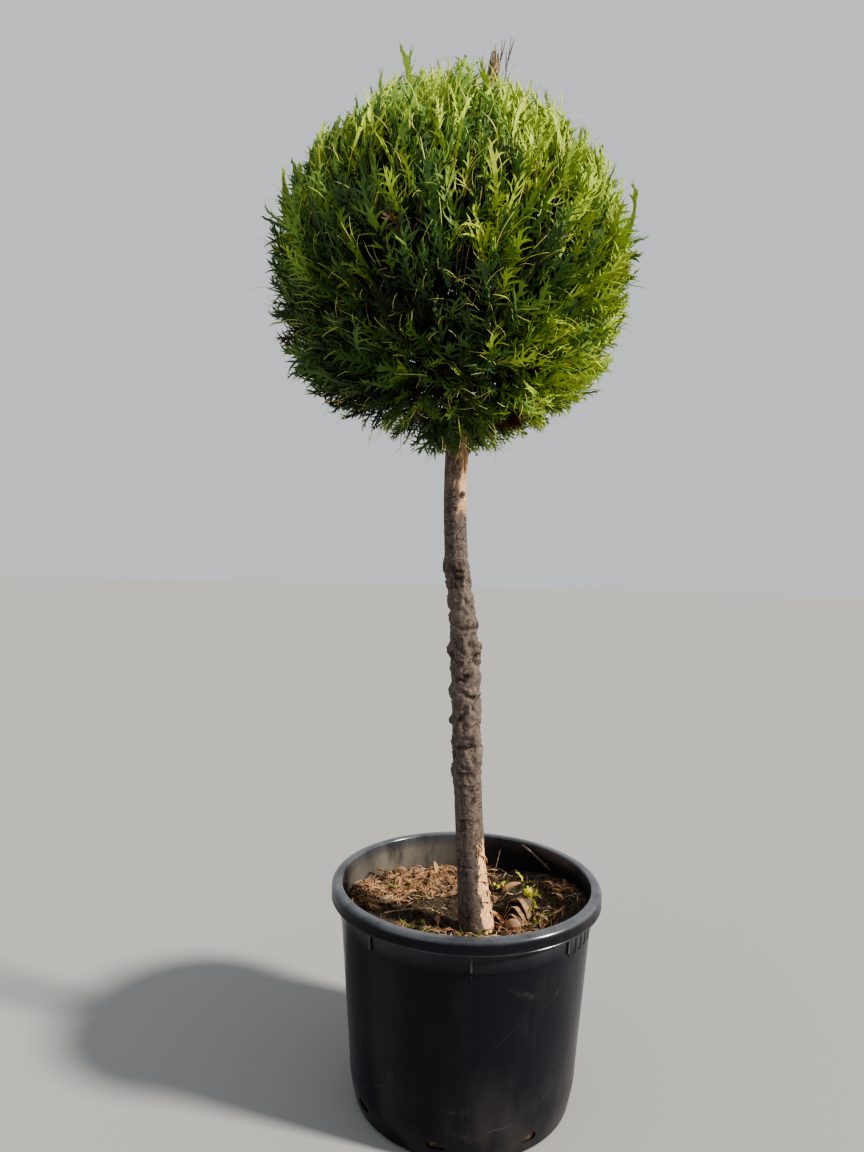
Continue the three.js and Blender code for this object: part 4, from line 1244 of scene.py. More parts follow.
# Loose shreds of bark on the peeled strip: height, turn, length in mm, tilt in degrees, and if pale.
SHREDS = (
    (396, -64, 17, 28, True), (388, -50, 13, -20, False), (376, -42, 15, 35, True), (350, -56, 16, 80, False),
    (341, -60, 15, 60, True), (326, -34, 9, 20, False), (312, -58, 13, 70, True), (296, -30, 11, 30, False),
)
STEM_SIDES, LEADER_STRANDS = 80, 11
# Relief of the bark and of the folds, and depths of the crack, the scar and the hollows, in mm.
BARK_RELIEF, FOLD_RELIEF, CRACK_DEPTH, SCAR_DEPTH, HOLLOW_DEPTH = 0.8, 1.9, 1.3, 1.6, 1.8


def dressed_stem(z, turn):
    """The stem's radius with the bark's relief, and its masks: relief, the pale strip of peeled bark and
    painted sunlight, the upper bark, and dark marks with painted shade in the hollows.
    """
    radius = stem_radius(z, turn)
    skin = np.stack([radius * np.cos(turn), radius * np.sin(turn), z], 1)
    rough = 1 - 0.75 * smooth_step(z, UPPER_FROM - 20 * MM, UPPER_FROM + 30 * MM)
    drawn = skin * (1, 1, 0.16)
    strips = noise_at(drawn, 4 * MM, 3)
    rings = noise_at(skin * (0.4, 0.4, 1), 3 * MM, 2)
    plates = 0.5 - np.abs(noise_at(drawn + 1, 7 * MM, 2))
    patches = noise_at(skin, 30 * MM, 2)
    ragged = noise_at(skin * (1, 1, 0.5), 8 * MM, 3)
    inside = smooth_step(z, WRINKLE_FROM - 60 * MM, WRINKLE_FROM + 30 * MM)
    inside = inside * (1 - smooth_step(z, WRINKLE_TO + 60 * MM, WRINKLE_TO + 110 * MM))
    warp = np.stack([noise_at(skin + shift, 24 * MM, 1) for shift in (3, 5, 7)], 1) * 16 * MM
    folds = 1 - 3.0 * np.abs(noise_at((skin + warp) * (1, 1, 1.8), 20 * MM, 1))
    small = 1 - 2.4 * np.abs(noise_at((skin + warp) * (1, 1, 2.4), 8 * MM, 1))
    relief = (0.3 * strips + 0.3 * plates + 0.4 * rings) * (0.5 + 0.5 * rough) * (1 - 0.55 * inside)
    relief = relief + inside * (0.8 * folds + 0.3 * small)
    scar_and_shade = np.zeros(len(z))
    for proud, distance in knot_distances(z, turn, radius):
        lip = np.cos(distance * 4 + 4 * patches + 3 * folds) * np.exp(-((distance / 1.7) ** 2))
        relief = relief + 0.35 * lip * (proud > 0)
        eye = np.exp(-((distance / (0.42 + 0.1 * patches)) ** 2))
        scar_and_shade = np.maximum(scar_and_shade, eye * (0.75 if proud > 0 else 1.0))
    pits = np.zeros(len(z))
    for height, around, wide, tall in HOLLOWS:
        across = np.angle(np.exp(1j * (turn - around * DEG))) * radius / (wide * MM)
        away = across**2 + ((z - height * MM) / (tall * MM)) ** 2
        pits = np.maximum(pits, np.exp(-away * np.maximum(1 + 0.8 * ragged, 0.2)))
    # The pale strip, low down and again high up on the right: peeled bark and painted sunlight.
    left = (turn > SUNLIT_PEEL_LEFT + 0.30 * ragged) & (turn < SUNLIT_PEEL_RIGHT + 0.35 * ragged)
    peel_and_sunlight = (left & (z < SUNLIT_PEEL_TOP + 22 * MM * ragged)).astype(float)
    high = smooth_step(z + 14 * MM * ragged, SUNLIT_PEEL_AGAIN - 12 * MM, SUNLIT_PEEL_AGAIN + 8 * MM)
    high = high * smooth_step(turn + 0.6 * ragged, -86 * DEG, -50 * DEG) * (turn < SUNLIT_PEEL_RIGHT)
    peel_and_sunlight = np.maximum(peel_and_sunlight, 0.75 * high)
    crack = np.exp(-(((z - CRACK_HEIGHT - 3 * MM * patches - 4 * MM * ragged) / (1.3 * MM)) ** 2))
    crack *= (turn > CRACK_LEFT) & (turn < CRACK_RIGHT + 0.5 * ragged)
    relief = relief * (1 - 0.75 * peel_and_sunlight)
    drop = (SCAR_TOP - z) / SCAR_LENGTH
    half = SCAR_WIDTH * (1 - 0.7 * np.clip(drop, 0, 1))
    hollow = smooth_step(1.1 - np.abs(radius * (turn - SCAR_TURN)) / half - 0.6 * ragged, 0, 0.4)
    hollow = hollow * smooth_step(drop, -0.15, 0.1) * smooth_step(-drop, -1.1, -0.8)
    # The hollows under knots and folds are darkened as painted shade; the crack and the scar are dark marks
    # of the bark.
    for mark in (0.8 * smooth_step(pits, 0.2, 0.7), 0.9 * crack, 0.7 * hollow):
        scar_and_shade = np.maximum(scar_and_shade, mark)
    sunk = CRACK_DEPTH * crack + SCAR_DEPTH * hollow + HOLLOW_DEPTH * pits
    depth = (BARK_RELIEF + FOLD_RELIEF * inside) * MM * relief - PEEL_DEPTH * peel_and_sunlight - sunk * MM
    upper = smooth_step(z + 18 * MM * patches, UPPER_FROM, UPPER_FROM + 35 * MM)
    return radius + depth, {"relief": 0.5 + 0.5 * relief, "peel_and_sunlight": peel_and_sunlight, "upper": upper, "scar_and_shade": scar_and_shade}


class TOPIARY_OT_stem(bpy.types.Operator):
    """Model the bare stem with its knots, folds and peeled bark, up to its dead tip"""

    bl_idname = "topiary.stem"
    bl_label = "Stem"

    def execute(self, context):
        wood = context.scene.topiary_wood
        low, high, top = STEM[0, 0], 960 * MM, STEM[-1, 0]
        piece = column("stem_bark_relief", STEM_SIDES, ((low, high, 7, 44), (high, top, 5, 9)))
        co = coordinates(piece)
        z = np.clip(co[:, 2], low, top)
        turn = np.arctan2(co[:, 1], co[:, 0])
        radius, masks = dressed_stem(z, turn)
        reach = radius * np.hypot(co[:, 0], co[:, 1])
        co[:, :2] = stem_at(z)[0][:, :2] + np.stack([np.cos(turn) * reach, np.sin(turn) * reach], 1)
        set_coordinates(piece, co)
        for name, values in masks.items():
            add_mask(piece, name, values)
        piece.data.shade_smooth()
        settled(piece, [stem_material(wood)], "bark", ["trunk"])
        self.leader(wood)
        self.flake(wood)
        self.bud(wood)
        self.shreds(wood)
        return {"FINISHED"}

    def leader(self, wood):
        """The frayed tan tip that stands out of the top."""
        tan = wood_material("dead_leader", wood.leader, wood.bark, 3, 6.0, 0.6)
        draw = seeded(5)
        base = stem_at(1432 * MM)[0]
        tip = stem_at(STEM[-1, 0])[0]
        lines = []
        for i in range(LEADER_STRANDS):
            out = outward(i * GOLDEN_TURN) * (2 + 4 * draw()) * MM
            end = tip + out * 0.7 + np.array((0, 0, (10 - 40 * draw()) * MM))
            lines.append(curve_points(base + out, (base + tip) / 2 + out * 1.5, end, 7))
        strands = tubes(lines, np.linspace(4.6, 0.7, 8) * MM, 6)
        piece_from("dead_leader_tip", strands, [tan], "dead_wood", True)

    def flake(self, wood):
        """A pale flake of bark under the ball."""
        pale = wood_material("pale_flake", wood.peel_and_sunlight, wood.upper, 3, 5.0, 0.4)
        centre, radius = stem_at(np.linspace(918, 952, 6) * MM)
        line = centre + outward(-32 * DEG) * (radius + mm(0, 0.5, 0.8, 1.2, 2.2, 4.5))[:, None]
        piece_from("bark_flake", tubes([line], mm(0.6, 2.2, 2.6, 2.0, 1.3, 0.5), 8), [pale], "bark", True)

    def bud(self, wood):
        """The small round bud under the ball, over the dark lip of bark that it grew through."""
        height, turn, _, _ = KNOTS[0]
        centre, radius = stem_at(height * MM)
        parts = []
        for drop, reaches, radii in (
            (0.0, (0.5, 2.4, 4.0, 5.2, 5.6), (3.0, 3.3, 2.9, 2.0, 0.8)),
            (1.7, (-0.5, 0.8, 1.9, 2.7, 3.0), (4.6, 4.8, 4.4, 3.2, 1.2)),
        ):
            line = centre + outward(turn * DEG) * (radius + mm(*reaches)[:, None]) - mm(0, 0, drop)
            points, faces, tones = tubes([line], mm(*radii), 12)
            parts.append((points, faces, tones + (drop > 0)))
        skin = wood_material("bud_bark", wood.upper, wood.bark, 2, 1.0, 0.4)
        lip = wood_material("bud_lip", wood.groove_and_shade, wood.bark, 2, 1.0, 0.4)
        piece_from("stem_bud", joined(parts), [skin, lip], "bark", True)

    def shreds(self, wood):
        """Small loose shreds of bark, pale and dark, that curl off the peeled strip."""
        parts = []
        for z, turn, length, tilt, pale in SHREDS:
            z, turn, tilt = z * MM, turn * DEG, tilt * DEG
            ends = []
            for share, off in ((0, -0.8), (1, 2.6)):
                height = z - share * length * MM * math.cos(tilt)
                centre, radius = stem_at(height)
                around = turn + share * length * MM * math.sin(tilt) / radius
                ends.append(centre + outward(around) * (float(stem_radius(height, around)) + off * MM))
            points, faces, tones = blade_sheet(*ends, 4.2 * MM, 0.16, 0.7, 0.6 * MM, 7)
            parts.append((points, faces, tones + (not pale)))
        light = wood_material("pale_shred", wood.peel_and_sunlight, wood.upper, 3, 3.0, 0.3)
        dark = wood_material("dark_shred", wood.groove_and_shade, wood.bark, 3, 3.0, 0.3)
        piece_from("bark_shreds", joined(parts), [light, dark], "bark", True)


def pot_profile():
    """The pot's closed profile: foot, wall, ledge, rolled rim, inner wall and floor."""
    inner = TOP_RADIUS - WALL
    skirt = POT_HEIGHT - RIM_DROP
    under = POT_HEIGHT - WALL
    lip = 1.2 * MM
    wall = [(wall_radius(z), z) for z in np.linspace(SHOULDER_HEIGHT, LEDGE_HEIGHT, 16)[1:]]
    inside = [point for point in foot_profile(WALL) if point[1] > POT_FLOOR]
    return [
        (0, 0),
        *foot_profile(0),
        *wall,
        (wall_radius(LEDGE_HEIGHT) + LEDGE_PROUD, LEDGE_HEIGHT + LEDGE_PROUD),
        (TOP_RADIUS + LEDGE_PROUD, under),
        (RIM_RADIUS - WALL, under - RIM_OUTER_ROUND / 2),
        (RIM_RADIUS - WALL, skirt + lip),
        *arc(RIM_RADIUS - WALL + lip, skirt + lip, lip, 180, 270, 3)[1:],
        *arc(RIM_RADIUS - lip, skirt + lip, lip, 270, 420, 6),
        (RIM_RADIUS - 1.1 * MM, skirt + 3.2 * MM),
        *arc(RIM_RADIUS - RIM_OUTER_ROUND, POT_HEIGHT - RIM_OUTER_ROUND, RIM_OUTER_ROUND, 0, 90, 8),
        *arc(inner + RIM_INNER_ROUND, POT_HEIGHT - RIM_INNER_ROUND, RIM_INNER_ROUND, 90, 180, 6),
        (inner, skirt),
        *[(wall_radius(z) - WALL, z) for z in np.linspace(LEDGE_HEIGHT, SHOULDER_HEIGHT, 6)[:-1]],
        *inside[::-1],
        (inside[0][0] - 4 * MM, POT_FLOOR),
        (0, POT_FLOOR),
    ]


def rounded_box(name, corner_at, bevel):
    """A cube whose corners are put in place by a function of their signs, with rounded edges."""
    deselect()
    bpy.ops.mesh.primitive_cube_add(size=2)
    piece = started(name)
    set_coordinates(piece, np.array([corner_at(*np.sign(point)) for point in coordinates(piece)]))
    with edit_mode(piece):
        bpy.ops.mesh.select_all(action="SELECT")
        bpy.ops.mesh.bevel(offset=bevel, segments=2, affect="EDGES")
    return piece


def turned_copies(piece, turns):
    """Copies of a piece turned about the Z axis, each with its own mesh, joined into one object."""
    co = coordinates(piece)
    deselect()
    for turn in turns:
        copy = piece.copy()
        copy.data = piece.data.copy()
        bpy.context.scene.collection.objects.link(copy)
        x = co[:, 0] * math.cos(turn) - co[:, 1] * math.sin(turn)
        y = co[:, 0] * math.sin(turn) + co[:, 1] * math.cos(turn)
        set_coordinates(copy, np.stack([x, y, co[:, 2]], 1))
        copy.select_set(True)
    bpy.context.view_layer.objects.active = copy
    bpy.ops.object.join()
    name = piece.name
    bpy.data.objects.remove(piece)
    copy.name = name
    return copy


def ribs(name, bottom, proud, width, turns):
    """Ribs under the rim that taper in with the wall, modelled once and copied round."""
    top = POT_HEIGHT - WALL - 1 * MM

    def corner(out, side, up):
        if up > 0:
            return TOP_RADIUS + (proud if out > 0 else -1.5 * MM), side * width / 2, top
        z = bottom + (6 * MM if out > 0 else 0)
        return wall_radius(bottom) + (proud if out > 0 else -1.5 * MM), side * width / 2, z

    return turned_copies(rounded_box(name, corner, 0.6 * MM), turns)


def drain_cutter():
    """Oblong plugs all round the foot, that the drain holes are cut with."""
    deselect()
    bpy.ops.mesh.primitive_cube_add(size=1, location=(SHOULDER_RADIUS - 10 * MM, 0, DRAIN_HEIGHT),
                                    scale=(30 * MM, DRAIN_LENGTH, DRAIN_WIDTH))
    plug = started("drain_plug")
    select_edges(plug, lambda a, b: np.abs(a - b)[:, 0] > 1 * MM)
    with edit_mode(plug):
        bpy.ops.mesh.bevel(offset=DRAIN_WIDTH * 0.48, segments=7, affect="EDGES")
    return turned_copies(plug, [(DRAIN_TURN + i * 360 / DRAINS) * DEG for i in range(DRAINS)])


# The patch on the inner wall at the back left, both dust and a painted patch of sunlight: its turn and
# spread.
LIT_DUST_TURN, LIT_DUST_SPREAD = 128 * DEG, 46 * DEG


class TOPIARY_OT_pot(bpy.types.Operator):
    """Model the moulded nursery pot with its rim, ribs, seams and drain holes"""

    bl_idname = "topiary.pot"
    bl_label = "Pot"

    def execute(self, context):
        settings = context.scene.topiary_pot
        plastic = [plastic_material(settings)]
        piece = lathe("pot_wall", pot_profile(), settings.steps)
        cutter = drain_cutter()
        bpy.context.view_layer.objects.active = piece
        cut = piece.modifiers.new("drain_holes", "BOOLEAN")
        cut.operation = "DIFFERENCE"
        cut.solver = "EXACT"
        cut.object = cutter
        bpy.ops.object.modifier_apply(modifier=cut.name)
        bpy.data.objects.remove(cutter)
        deselect()
        piece.select_set(True)
        bpy.ops.object.shade_smooth_by_angle(angle=38 * DEG)
        x, y, z = coordinates(piece).T
        out = np.hypot(x, y)
        # The inner wall above the soil at the back left gets dust and a painted patch of sunlight.
        lit_dust = (z > SOIL_LEVEL - 20 * MM) & (z < POT_HEIGHT - RIM_DROP / 2)
        lit_dust &= out < wall_radius(z) - WALL * 0.8
        aside = (np.arctan2(y, x) - LIT_DUST_TURN) / LIT_DUST_SPREAD
        add_mask(piece, "inner_dust_and_light", lit_dust * np.exp(-(aside**2)))
        # A painted sheen on the rim's top and a painted glint along the bead under the rim.
        top = smooth_step(z, POT_HEIGHT - RIM_OUTER_ROUND, POT_HEIGHT - 1 * MM)
        bead = (np.abs(z - (POT_HEIGHT - RIM_DROP + 1.4 * MM)) < 1.2 * MM) & (out > RIM_RADIUS - 1 * MM)
        add_mask(piece, "rim_sheen_mask", np.maximum(top, 0.25 * bead))
        settled(piece, plastic, "pot_plastic", ["pot"])
        gussets = ribs("pot_gussets", GUSSET_BOTTOM, GUSSET_PROUD, GUSSET_WIDTH,
                       [-math.pi / 2 + i * math.tau / GUSSETS for i in range(GUSSETS)])
        x, y, z = coordinates(gussets).T
        # A painted highlight on the ribs' outer edges.
        add_mask(gussets, "rim_sheen_mask", 0.7 * smooth_step(np.hypot(x, y) - wall_radius(z), 2 * MM, 4 * MM))
        settled(gussets, plastic, "pot_plastic")
        turns = np.linspace(GRIP_FROM, GRIP_TO, GRIPS) * DEG - math.pi / 2
        grips = ribs("pot_grips", GRIP_BOTTOM, GRIP_PROUD, GRIP_WIDTH, [*turns, *(turns + math.pi)])
        settled(grips, plastic, "pot_plastic")
        z = np.linspace(SHOULDER_HEIGHT + 6 * MM, LEDGE_HEIGHT + 2 * MM, 12)
        radius = wall_radius(z) - 0.9 * MM
        seams = [np.stack([radius * math.cos(turn), radius * math.sin(turn), z], 1)
                 for turn in (-math.pi / 2, math.pi / 2)]
        piece_from("pot_seams", tubes(seams, 1.2 * MM, 10), plastic, "pot_plastic", True)
        return {"FINISHED"}


class TOPIARY_OT_soil(bpy.types.Operator):
    """Fill the pot with lumpy potting soil"""

    bl_idname = "topiary.soil"
    bl_label = "Soil"

    def execute(self, context):
        settings = context.scene.topiary_pot
        gap = 0.35 * MM
        below = [point for point in foot_profile(WALL + gap, 4) if point[1] > POT_FLOOR + 2 * MM]
        edge = wall_radius(SOIL_LEVEL) - WALL - gap
        floor = POT_FLOOR + gap
        rings = [(edge * (1 - share), SOIL_LEVEL) for share in np.linspace(0, 1, 62)]
        profile = [(0, floor), (below[0][0] - 4 * MM, floor), *below, *rings]
        piece = lathe("soil_surface", profile, settings.steps)
        co = coordinates(piece)
        top = co[:, 2] > SOIL_LEVEL - 1 * MM
        x, y = co[top, 0], co[top, 1]
        flat = np.stack([x, y, 0 * x], 1)
        lumps = 3.2 * noise_at(flat, 24 * MM) + 2.4 * noise_at(flat + 1, 9 * MM)
        lumps += 1.2 * noise_at(flat, 4 * MM)
        z = soil_height(x, y) + lumps * MM
        out = np.hypot(x, y)
        fit = np.where(out > edge - 1 * MM, (wall_radius(z) - WALL - gap) / np.maximum(out, TINY), 1)
        co[top] = np.stack([x * fit, y * fit, z], 1)
        set_coordinates(piece, co)
        piece.data.shade_smooth()
        settled(piece, [soil_material(settings)], "soil", ["potting_soil"])
        return {"FINISHED"}


def on_soil(x, y, lift=0.0):
    return np.array((x, y, float(soil_height(x, y)) + lift))


def soil_places(count, draw, wanted, edge=0.172):
    """Places on the soil, kept more often where wanted gives a share nearer 1."""
    places = []
    while len(places) < count:
        radius = edge * math.sqrt(draw())
        turn = math.tau * draw()
        x, y = outward(turn)[:2] * radius
        clear = math.hypot(x - STEM[0, 1], y - STEM[0, 2]) > 27 * MM
        if clear and draw() < wanted(x, y):
            places.append((x, y))
    return places


def anywhere(x, y):
    return 1.0


def dry_places(x, y):
    """Dry sprays lie thick at the back left and along the front, and thin at the front left. The pale litter
    is laid thick where sunlight falls, partly as painted light, and the front left is kept nearly bare as a
    painted shadow.
    """
    back_left = smooth_step(y - 0.41 * x, 0.062, 0.090) * smooth_step(-x, -0.05, 0.0)
    front = smooth_step(-y, 0.048, 0.066) * smooth_step(x, -0.10, -0.07)
    return 0.02 + 0.98 * max(back_left, 0.6 * front, 0.07 * smooth_step(x, 0.02, 0.06))


def crumbs(places, draw, low, high):
    """Angular lumps, each an octahedron pulled out of shape."""
    corners = np.array(((1, 0, 0), (-1, 0, 0), (0, 1, 0), (0, -1, 0), (0, 0, 1), (0, 0, -1)), float)
    around = ((0, 2), (2, 1), (1, 3), (3, 0))
    faces = np.array([(a, b, 4) for a, b in around] + [(b, a, 5) for a, b in around])
    points = []
    for x, y in places:
        size = (low + (high - low) * draw() ** 2) * MM
        pull = np.array([[0.6 + 0.8 * draw() for _ in range(3)] for _ in corners])
        turn = Euler((draw() * 6, draw() * 6, draw() * 6)).to_matrix()
        points.append(corners * pull * size @ np.array(turn) + on_soil(x, y, size * 0.3))
    all_faces = faces[None] + (np.arange(len(points)) * 6)[:, None, None]
    return np.vstack(points), all_faces.reshape(-1, 3), np.zeros(len(points) * 8, int)


def sheet(grid, thickness):
    """A closed thin sheet from a grid of points, with a thickness along its normals."""
    rows, columns = grid.shape[:2]
    off = unit(np.cross(np.gradient(grid, axis=0), np.gradient(grid, axis=1))) * thickness / 2
    points = np.vstack([(grid + off).reshape(-1, 3), (grid - off).reshape(-1, 3)])
    size = rows * columns
    faces = []
    for i in range(rows - 1):
        for j in range(columns - 1):
            a, b = i * columns + j, i * columns + j + 1
            c, d = b + columns, a + columns
            faces += [(a, c, b), (a, d, c), (a + size, b + size, c + size), (a + size, c + size, d + size)]
    number = np.arange(size).reshape(rows, columns)
    rim = [*number[0], *number[1:, -1], *number[-1, -2::-1], *number[-2:0:-1, 0]]
    for a, b in zip(rim, rim[1:] + rim[:1]):
        faces += [(a, b, b + size), (a, b + size, a + size)]
    return points, np.array(faces), np.zeros(len(faces), int)


def blade_sheet(root, tip, width, bow, curl, thickness=0.7 * MM, steps=9):
    """A small leaf or plate of bark from root to tip, pointed at its tip, bowed and curled across."""
    _, ahead, side, flat = frames_for(root[None], tip[None], np.array([curl * 0.3]))
    length = np.linalg.norm(tip - root)
    grid = np.empty((steps, 5, 3))
    for i, share in enumerate(np.linspace(0, 1, steps)):
        half = width / 2 * max(math.sin(math.pi * min(share * 0.8 + 0.16, 1)) ** 0.8, 0.04)
        for j, across in enumerate(np.linspace(-1, 1, 5)):
            off = bow * 4 * share * (1 - share) * length + curl * half * across**2
            grid[i, j] = root + ahead[0] * share * length + side[0] * across * half + flat[0] * off
    return sheet(grid, thickness)


def lying_ends(places, draw, length, foot, tip, edge):
    """Ends of thin things that lie any way round on the soil, inside the wall. Lifts are in millimetres."""
    for x, y in places:
        ahead = outward(math.tau * draw())[:2]
        span = length() * MM
        end = np.array((x, y)) + ahead * span
        end *= min(1, edge / np.hypot(*end))
        yield on_soil(x, y, foot() * MM), on_soil(*end, tip() * MM), ahead, span


def lying_fronds(places, draw, low, high, kinds, lift=3.0):
    """Small fronds that lie on the soil any way round, a little curled."""
    rows = {kind: [] for kind in kinds}
    ends = lying_ends(places, draw, lambda: low + (high - low) * draw(), lambda: 1.0 + lift * draw(),
                      lambda: 1.0 + 2.2 * lift * draw(), 0.178)
    for root, tip, _, _ in ends:
        turned = (1.6 * (draw() - 0.5), 0.7 + 0.5 * draw(), 0.5 * (draw() - 0.3), 0.4 * (draw() - 0.5))
        kind = kinds[int(draw() * len(kinds))]
        rows[kind].append((root, tip, *turned, 2.4 * (draw() - 0.5)))
    parts = []
    for kind, kept in rows.items():
        _, seed, *shape = FROND_KINDS[kind]
        if kept:
            parts.append(placed_fronds(frond_template(seed + 50, *shape), kept))
    return joined(parts)


def dry_threads(places, draw, low, high, thick):
    """Thin curved dry twiglets that lie on the soil or stand a little off it, some with a fork."""
    lines = []
    ends = lying_ends(places, draw, lambda: low + (high - low) * draw() ** 1.5, lambda: 0.8 + 2.5 * draw(),
                      lambda: 0.8 + 7 * draw() ** 2, 0.177)
    for start, stop, ahead, length in ends:
        bend = (draw() - 0.5) * 0.9 * length
        middle = (start + stop) / 2 + np.array((-ahead[1] * bend, ahead[0] * bend, 0.25 * length * draw()))
        lines.append(curve_points(start, middle, stop, 4))
        if draw() < 0.5:
            fork = lines[-1][2]
            reach = np.array((ahead[1], -ahead[0], 0.3 * draw())) * length * 0.35
            reach = reach * (1 if draw() < 0.5 else -1)
            tip = fork + reach + (stop - start) * 0.25
            lines.append(curve_points(fork, fork + (tip - fork) * 0.5 + (stop - start) * 0.06, tip, 4))
    return tubes(lines, np.array((0.8, 1.0, 0.9, 0.7, 0.3)) * thick * MM, 4)


# Larger plates of bark: root and tip with their lift in mm, width, bow and curl.
PLATES = (
    ((59, -58, -2), (38, -30, 17), 9, 0.06, 0.4),
    ((-41, 142, -2), (-47, 160, 17), 8, 0.1, 0.5),
    ((30, -30, 1), (38, 10, 14), 9, 0.2, 0.6),
)
# Sprigs that lie in known places: colour, how many at each, and the places with their spread in mm.
SPRIGS = (
    ("green_sprigs", "green", 4, (
        (-0.074, -0.049, 14), (-0.101, 0.077, 14), (0.002, -0.086, 20),
        (-0.02, -0.128, 40), (0.120, 0.030, 50), (0.100, -0.060, 40),
    )),
    ("yellow_green_sprigs", "sprout", 3, ((0.056, 0.085, 16), (0.099, 0.095, 14), (0.012, -0.120, 30))),
    ("edge_sprays", "orange", 11, (
        (-0.055, -0.132, 50), (-0.015, -0.138, 50), (0.025, -0.110, 50), (-0.10, -0.10, 40),
    )),
)


class TOPIARY_OT_litter(bpy.types.Operator):
    """Strew dry sprays, crumbs, chips, moss and twigs over the soil"""

    bl_idname = "topiary.litter"
    bl_label = "Litter"

    def execute(self, context):
        pot = context.scene.topiary_pot
        wood = context.scene.topiary_wood
        draw = seeded(77)
        orange, husk, brown, green, sprout, dark = (leaf_material(*row) for row in (
            ("litter_orange", pot.litter, 0.8),
            ("litter_husk", pot.husk, 0.8),
            ("litter_brown", pot.crumb, 0.85),
            ("litter_green", pot.moss, 0.6),
            ("litter_sprout", pot.sprout, 0.5),
            ("crumb_dark", pot.soil, 0.95),
        ))

        def places(count, wanted):
            return soil_places(count, draw, wanted), draw

        def right(x, y):
            return smooth_step(x, 0.01, 0.08)

        for name, count, material, thick in (
            ("tan_threads", 220, husk, 0.80),
            ("orange_threads", 280, orange, 0.95),
            ("brown_threads", 500, brown, 0.85),
        ):
            threads = dry_threads(*places(count, dry_places), 10, 38, thick)
            piece_from(name, threads, [material], "soil", True)
        dry = lying_fronds(*places(460, dry_places), 16, 40, ("full", "plain", "slim"))
        piece_from("dry_sprays", dry, [orange, husk, husk], "soil")
        dull = lying_fronds(*places(70, anywhere), 14, 36, ("slim",), 2.0)
        piece_from("brown_sprays", dull, [brown, brown, orange], "soil")
        fresh = lying_fronds(*places(16, anywhere), 20, 40, ("slim", "plain"), 2.0)
        mossy = crumbs(*places(260, right), 0.8, 2.6)
        piece_from("green_sprays", joined([fresh, mossy]), [green, green, sprout], "soil")
        piece_from("soil_crumbs", crumbs(*places(1500, anywhere), 0.8, 3.6), [dark], "soil")
        piece_from("dry_crumbs", crumbs(*places(700, dry_places), 0.6, 2.6), [brown], "soil")
        self.chips(draw, wood_material("red_bark", pot.red, wood.sawn, 9, 2.0, 0.3, 0.7))
        self.twigs(draw, wood)
        self.dotted_twig(wood)
        self.leaves({"green": green, "sprout": sprout, "orange": orange})
        return {"FINISHED"}

    def chips(self, draw, red):
        """Chips of bark strewn about, and three larger plates that stand in known places."""
        parts = []
        for x, y in soil_places(30, draw, dry_places):
            turn = math.tau * draw()
            length = (7 + 13 * draw()) * MM
            root = on_soil(x, y, (0.5 + 2 * draw()) * MM)
            reach = outward(turn, 0.6 * draw()) * length
            parts.append(blade_sheet(root, root + reach, (3 + 4 * draw()) * MM, 0.1 * draw(), draw() - 0.5))
        for root, tip, width, bow, curl in PLATES:
            ends = [on_soil(x * MM, y * MM, lift * MM) for x, y, lift in (root, tip)]
            parts.append(blade_sheet(*ends, width * MM, bow, curl))
        piece_from("bark_chips", joined(parts), [red], "dead_wood", True)

    def twigs(self, draw, wood):
        """Twigs strewn about, and the two that lean on the wall and stand up in known places."""
        brown = wood_material("litter_twig", wood.grey_twig, wood.twig, 3, 4.0, 0.3)
        lines = []
        thick = []
        ends = lying_ends(soil_places(34, draw, anywhere), draw, lambda: 14 + 34 * draw(), lambda: 2,
                          lambda: 1.5 + 8 * draw() ** 2, 0.174)
        for start, stop, _, _ in ends:
            middle = (start + stop) / 2 + np.array((draw() - 0.5, draw() - 0.5, 0.2)) * 10 * MM
            lines.append(curve_points(start, middle, stop, 5))
            thick.append(np.linspace(1.0, 0.5, 6) * MM * (0.6 + 0.8 * draw()))
        top, low = mm(101, 149, 316), mm(143, 110, 289)
        spur = low + (top - low) * 0.1
        leaning = [
            curve_points(top, (top + low) / 2 + mm(1, 1, 2), low, 5),
            curve_points(spur, spur + mm(1, 0, 4), spur + mm(-2, -1, 8), 5),
            curve_points(on_soil(0.050, 0.120), mm(58, 135, 288), mm(64, 150, 306), 5),
        ]
        rods = mm((1.6, 2.0, 1.9, 2.0, 1.8, 1.7), (1.6, 1.5, 1.4, 1.5, 1.8, 1.2), (0.8,) * 6)
        arrays = joined([tubes(lines, thick, 5), tubes(leaning, rods, 8)])
        piece_from("litter_twigs", arrays, [brown], "dead_wood", True)

    def dotted_twig(self, wood):
        """A pale dry twig with small scales all along it."""
        pale = wood_material("pale_dry_twig", wood.peel_and_sunlight, wood.grey_twig, 3, 4.0, 0.3)
        places = ((-0.120, -0.026), (-0.085, 0.000), (-0.053, 0.007), (-0.029, -0.011))
        *path, last = [on_soil(x, y, 4 * MM) for x, y in places]
        line = np.vstack([curve_points(*path, 7), last])
        scales = []
        for i in range(26):
            at = np.array([np.interp(i / 25 * 8, range(9), line[:, axis]) for axis in range(3)])
            scales.append(curve_points(at, at + mm(1, -1, 1), at + mm(3, -2, 3), 2))
        arrays = joined([tubes([line], 0.8 * MM, 6), tubes(scales, mm(1.0, 1.1, 0.3), 5)])
        piece_from("dotted_dry_twig", arrays, [pale], "dead_wood", True)

